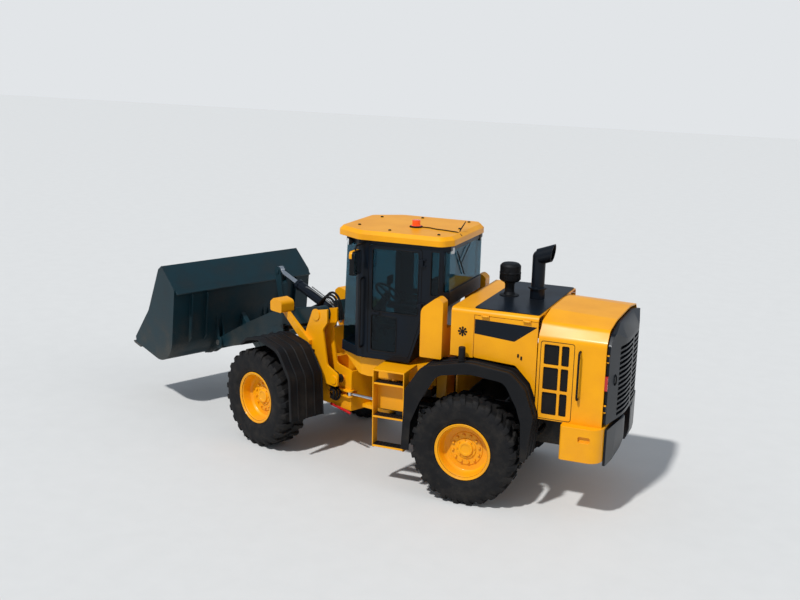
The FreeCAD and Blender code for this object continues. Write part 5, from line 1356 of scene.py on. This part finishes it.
# %% [markdown]
# ## Steps and fenders
#
# Each tread has a dark plate with raised buttons that keep a muddy boot from sliding. The plastic
# fenders are stiffened by rolled edges and ridges pressed along the sheet, and a post stands on the
# left one.

# %% Treads
TREAD_TOPS = (0.544, 0.929, 1.359)
TREAD_PLATE = 0.006
BUTTON = [(0.012, 0.0), (0.012, 0.004), (0.008, 0.006), (0.004, 0.006), (0.004, 0.002)]
BUTTON_ROWS, BUTTON_COLUMNS = 3, 8


def treads(side, hand):
    work = bmesh.new()
    for top in TREAD_TOPS:
        face = top + TREAD_PLATE
        block(work, -0.626, -0.234, *reach(side, 0.890, 1.022), top, face)
        for row in range(BUTTON_ROWS):
            for column in range(BUTTON_COLUMNS):
                centre = (-0.600 + column * 0.048, side * (0.912 + row * 0.042), face)
                lathe(work, BUTTON, centre, steps=10)
    piece("ladder_treads_" + hand, work, black_plastic)


for side, hand in HANDS.items():
    treads(side, hand)

# %% Ridges and the post
REAR_ARCH = [
    (-0.660, 0.585),
    (-0.690, 1.350, 0.12),
    (-0.890, 1.660, 0.16),
    (-1.455, 1.790, 0.60),
    (-1.990, 1.730, 0.16),
    (-2.170, 1.560, 0.12),
    (-2.290, 1.226, 0.12),
    (-2.215, 0.680),
]
FRONT_ARCH = [
    (1.740, 1.380),
    (1.600, 1.490, 0.14),
    (1.330, 1.545, 0.20),
    (0.910, 1.470, 0.24),
    (0.650, 1.130, 0.20),
    (0.615, 0.560),
]
REAR_RIDGES = (1.108, 1.000, 0.860, 0.720)
FRONT_RIDGES = (1.148, 1.030, 0.890, 0.750, 0.615)
RIDGE_RADIUS = 0.012
POST_FOOT = [(0.0, 1.770), (0.050, 1.770), (0.050, 1.792), (0.042, 1.796)]
POST_TOP = [(0.042, 1.940), (0.036, 1.952), (0.0, 1.953)]


def ridges(name, arch, side, depths, place, body):
    path = fillet(arch, 8, closed=False)
    routes = [[(p.x, side * y, p.y) for p in path] for y in depths]
    swept(name, routes, RIDGE_RADIUS, black_plastic, body, place)


for side, hand in HANDS.items():
    ridges("rear_fender_ridges_" + hand, REAR_ARCH, side, REAR_RIDGES, REAR, "rear_half")
    ridges("front_fender_ridges_" + hand, FRONT_ARCH, side, FRONT_RIDGES, FRONT, "front_half")
work = bmesh.new()
lathe(work, POST_FOOT + POST_TOP, (-1.356, 1.000, 0.0))
piece("fender_post", work, black_plastic)

# %% [markdown]
# ## Where the halves meet
#
# Hydraulic hoses come out of the front half beside the joint in short loops. A red bar, folded away
# under them, locks both halves when the machine is carried or repaired. At the boom's foot more hoses
# arch over to the cylinder.

# %% Hoses, flanges and the lock bar
HOSE_RADIUS = 0.016
FLANGE_DISC = [(0.0, 0.0), (0.070, 0.0), (0.070, 0.018), (0.062, 0.024)]
FLANGE_NECK = [(0.026, 0.024), (0.026, 0.040), (0.0, 0.040)]
FLANGE_PLACES = ((0.620, 0.363, 0.900), (0.780, 0.363, 0.800))
LOCK_BAR = [(0.300, 0.400, 0.600), (0.330, 0.400, 0.612), (0.670, 0.400, 0.636), (0.700, 0.400, 0.640)]


def joint_hose(i):
    y = 0.400 + 0.035 * i
    return [
        (0.740, 0.375, 0.870 - 0.03 * i),
        (0.640, y, 0.910 - 0.02 * i),
        (0.500 + 0.020 * i, y + 0.02, 0.900),
        (0.490 + 0.025 * i, y + 0.02, 0.800),
        (0.600, y, 0.700 + 0.02 * i),
        (0.740, 0.375, 0.720 + 0.03 * i),
    ]


def arch_hose(i):
    y = 0.135 + 0.040 * i
    return [
        (0.780, y, 1.760),
        (0.840, y, 2.020 - 0.02 * i),
        (1.000, y, 2.120 - 0.03 * i),
        (1.160, y, 2.020 - 0.02 * i),
        (1.250, y, 1.860),
    ]


HOSES = range(3)
swept("bundle_hoses", [joint_hose(i) for i in HOSES], HOSE_RADIUS, black_rubber, "front_half", FRONT)
work = bmesh.new()
for centre in FLANGE_PLACES:
    lathe(work, FLANGE_DISC + FLANGE_NECK, centre, "y", FRONT)
piece("hose_flanges", work, paint_yellow, "front_half")
swept("lock_bar", [LOCK_BAR], 0.018, lock_red, "front_half", FRONT)
swept("arch_hoses", [arch_hose(i) for i in HOSES], HOSE_RADIUS, black_rubber, "front_half", FRONT)

# %% [markdown]
# Steel pipes run along the tilt cylinder's barrel to its far end.

# %% Pipes on the tilt cylinder
TILT_BASE, CRANK_TOP = Vector((0.920, 0.0, 1.720)), Vector((2.360, 0.0, 2.160))
PIPE_SIDE = 0.030
along = (CRANK_TOP - TILT_BASE).normalized()
over = Vector((-along.z, 0, along.x))


def on_barrel(distance, height, side):
    """A point beside the barrel, at a distance from its base pin and a height over its axis."""
    return TILT_BASE + along * distance + over * height + Vector((0, side * PIPE_SIDE, 0))


PIPE_BENDS = ((0.14, 0.055), (0.18, 0.085), (0.80, 0.085))
pipes = [[on_barrel(*bend, side) for bend in PIPE_BENDS] for side in HANDS]
pipes[0].append(on_barrel(0.86, 0.060, 1))
swept("tilt_pipes", pipes, 0.009, worn_steel, "tilt_barrel", FRONT, "chrome")

# %% [markdown]
# The three rows of vents sit in one panel of the hood. A rubber strip seals the seam round it.

# %% Seam round the vents
VENT_PANEL = rect(-2.290, -2.690, 1.185, 2.125, 0.03)
for side, hand in HANDS.items():
    seals("vent_panel_seam_" + hand, [VENT_PANEL], side, radius=0.004, wall=HOOD_SIDE)
print("fittings done")

# %% [markdown]
# ## The solids that stay
#
# Every plate, casting and pane that isn't replaced above keeps its own shape under a smooth skin with
# its finish.

# %% Dress the other solids
COVERED = {"precleaner", "seat"} | {kind + name for kind in ("tyre_", "rim_") for name in WHEELS}
for node in sorted(set(frame["nodes"]) - COVERED):
    skin(node)
print("skins on", len(frame["nodes"]) - len(COVERED), "solids")

# %% [markdown]
# ## Floor and light
#
# A pale floor and a soft sky show the shape without colouring it. One sun high on the camera's left
# gives the highlights on the paint, and a weaker, wider one fills the rear. The camera sees a plain
# pale backdrop.

# %% Floor
FLOOR_REACH = 60.0


def add_floor():
    shade = Shade("floor_pale")
    grain = shade.noise(3.0)
    shade.surface(
        Base_Color=shade.mix(grain, srgb(206, 205, 202), srgb(212, 211, 208)),
        Roughness=0.9,
    )
    mesh = bpy.data.meshes.new("floor")
    work = bmesh.new()
    bmesh.ops.create_grid(work, x_segments=1, y_segments=1, size=FLOOR_REACH)
    work.to_mesh(mesh)
    work.free()
    mesh.materials.append(shade.material)
    new_object("floor", mesh)


add_floor()

# %% World and lamps
SKY = (0.74, 0.85, 1.0, 1.0)
SKY_STRENGTH = 0.42
BACKDROP = srgb(226, 229, 232)


def add_world():
    """A blue sky for light, and a plain backdrop for what the camera sees directly or through glass."""
    world = bpy.data.worlds.new("studio")
    world.use_nodes = True
    tree = world.node_tree
    tree.nodes.clear()
    path = tree.nodes.new("ShaderNodeLightPath")
    light, seen = (tree.nodes.new("ShaderNodeBackground") for _ in range(2))
    for node, colour, strength in ((light, SKY, SKY_STRENGTH), (seen, BACKDROP, 1.0)):
        node.inputs["Color"].default_value = colour
        node.inputs["Strength"].default_value = strength
    either = tree.nodes.new("ShaderNodeMath")
    either.operation = "MAXIMUM"
    tree.links.new(path.outputs["Is Camera Ray"], either.inputs[0])
    tree.links.new(path.outputs["Is Transmission Ray"], either.inputs[1])
    mix = tree.nodes.new("ShaderNodeMixShader")
    output = tree.nodes.new("ShaderNodeOutputWorld")
    tree.links.new(either.outputs[0], mix.inputs["Fac"])
    tree.links.new(light.outputs[0], mix.inputs[1])
    tree.links.new(seen.outputs[0], mix.inputs[2])
    tree.links.new(mix.outputs[0], output.inputs["Surface"])
    bpy.context.scene.world = world


def add_sun(name, azimuth, elevation, strength, spread):
    """A soft sun whose light comes from the given compass angle, counted from +X towards +Y."""
    data = bpy.data.lights.new(name, "SUN")
    data.energy = strength
    data.angle = math.radians(spread)
    lamp = new_object(name, data)
    a, e = math.radians(azimuth), math.radians(elevation)
    towards = Vector((math.cos(e) * math.cos(a), math.cos(e) * math.sin(a), math.sin(e)))
    lamp.rotation_euler = towards.to_track_quat("Z", "Y").to_euler()


add_world()
add_sun("key", 75, 55, 3.0, 3)
add_sun("fill", 175, 30, 0.45, 40)
bpy.context.scene.view_settings.view_transform = "Standard"
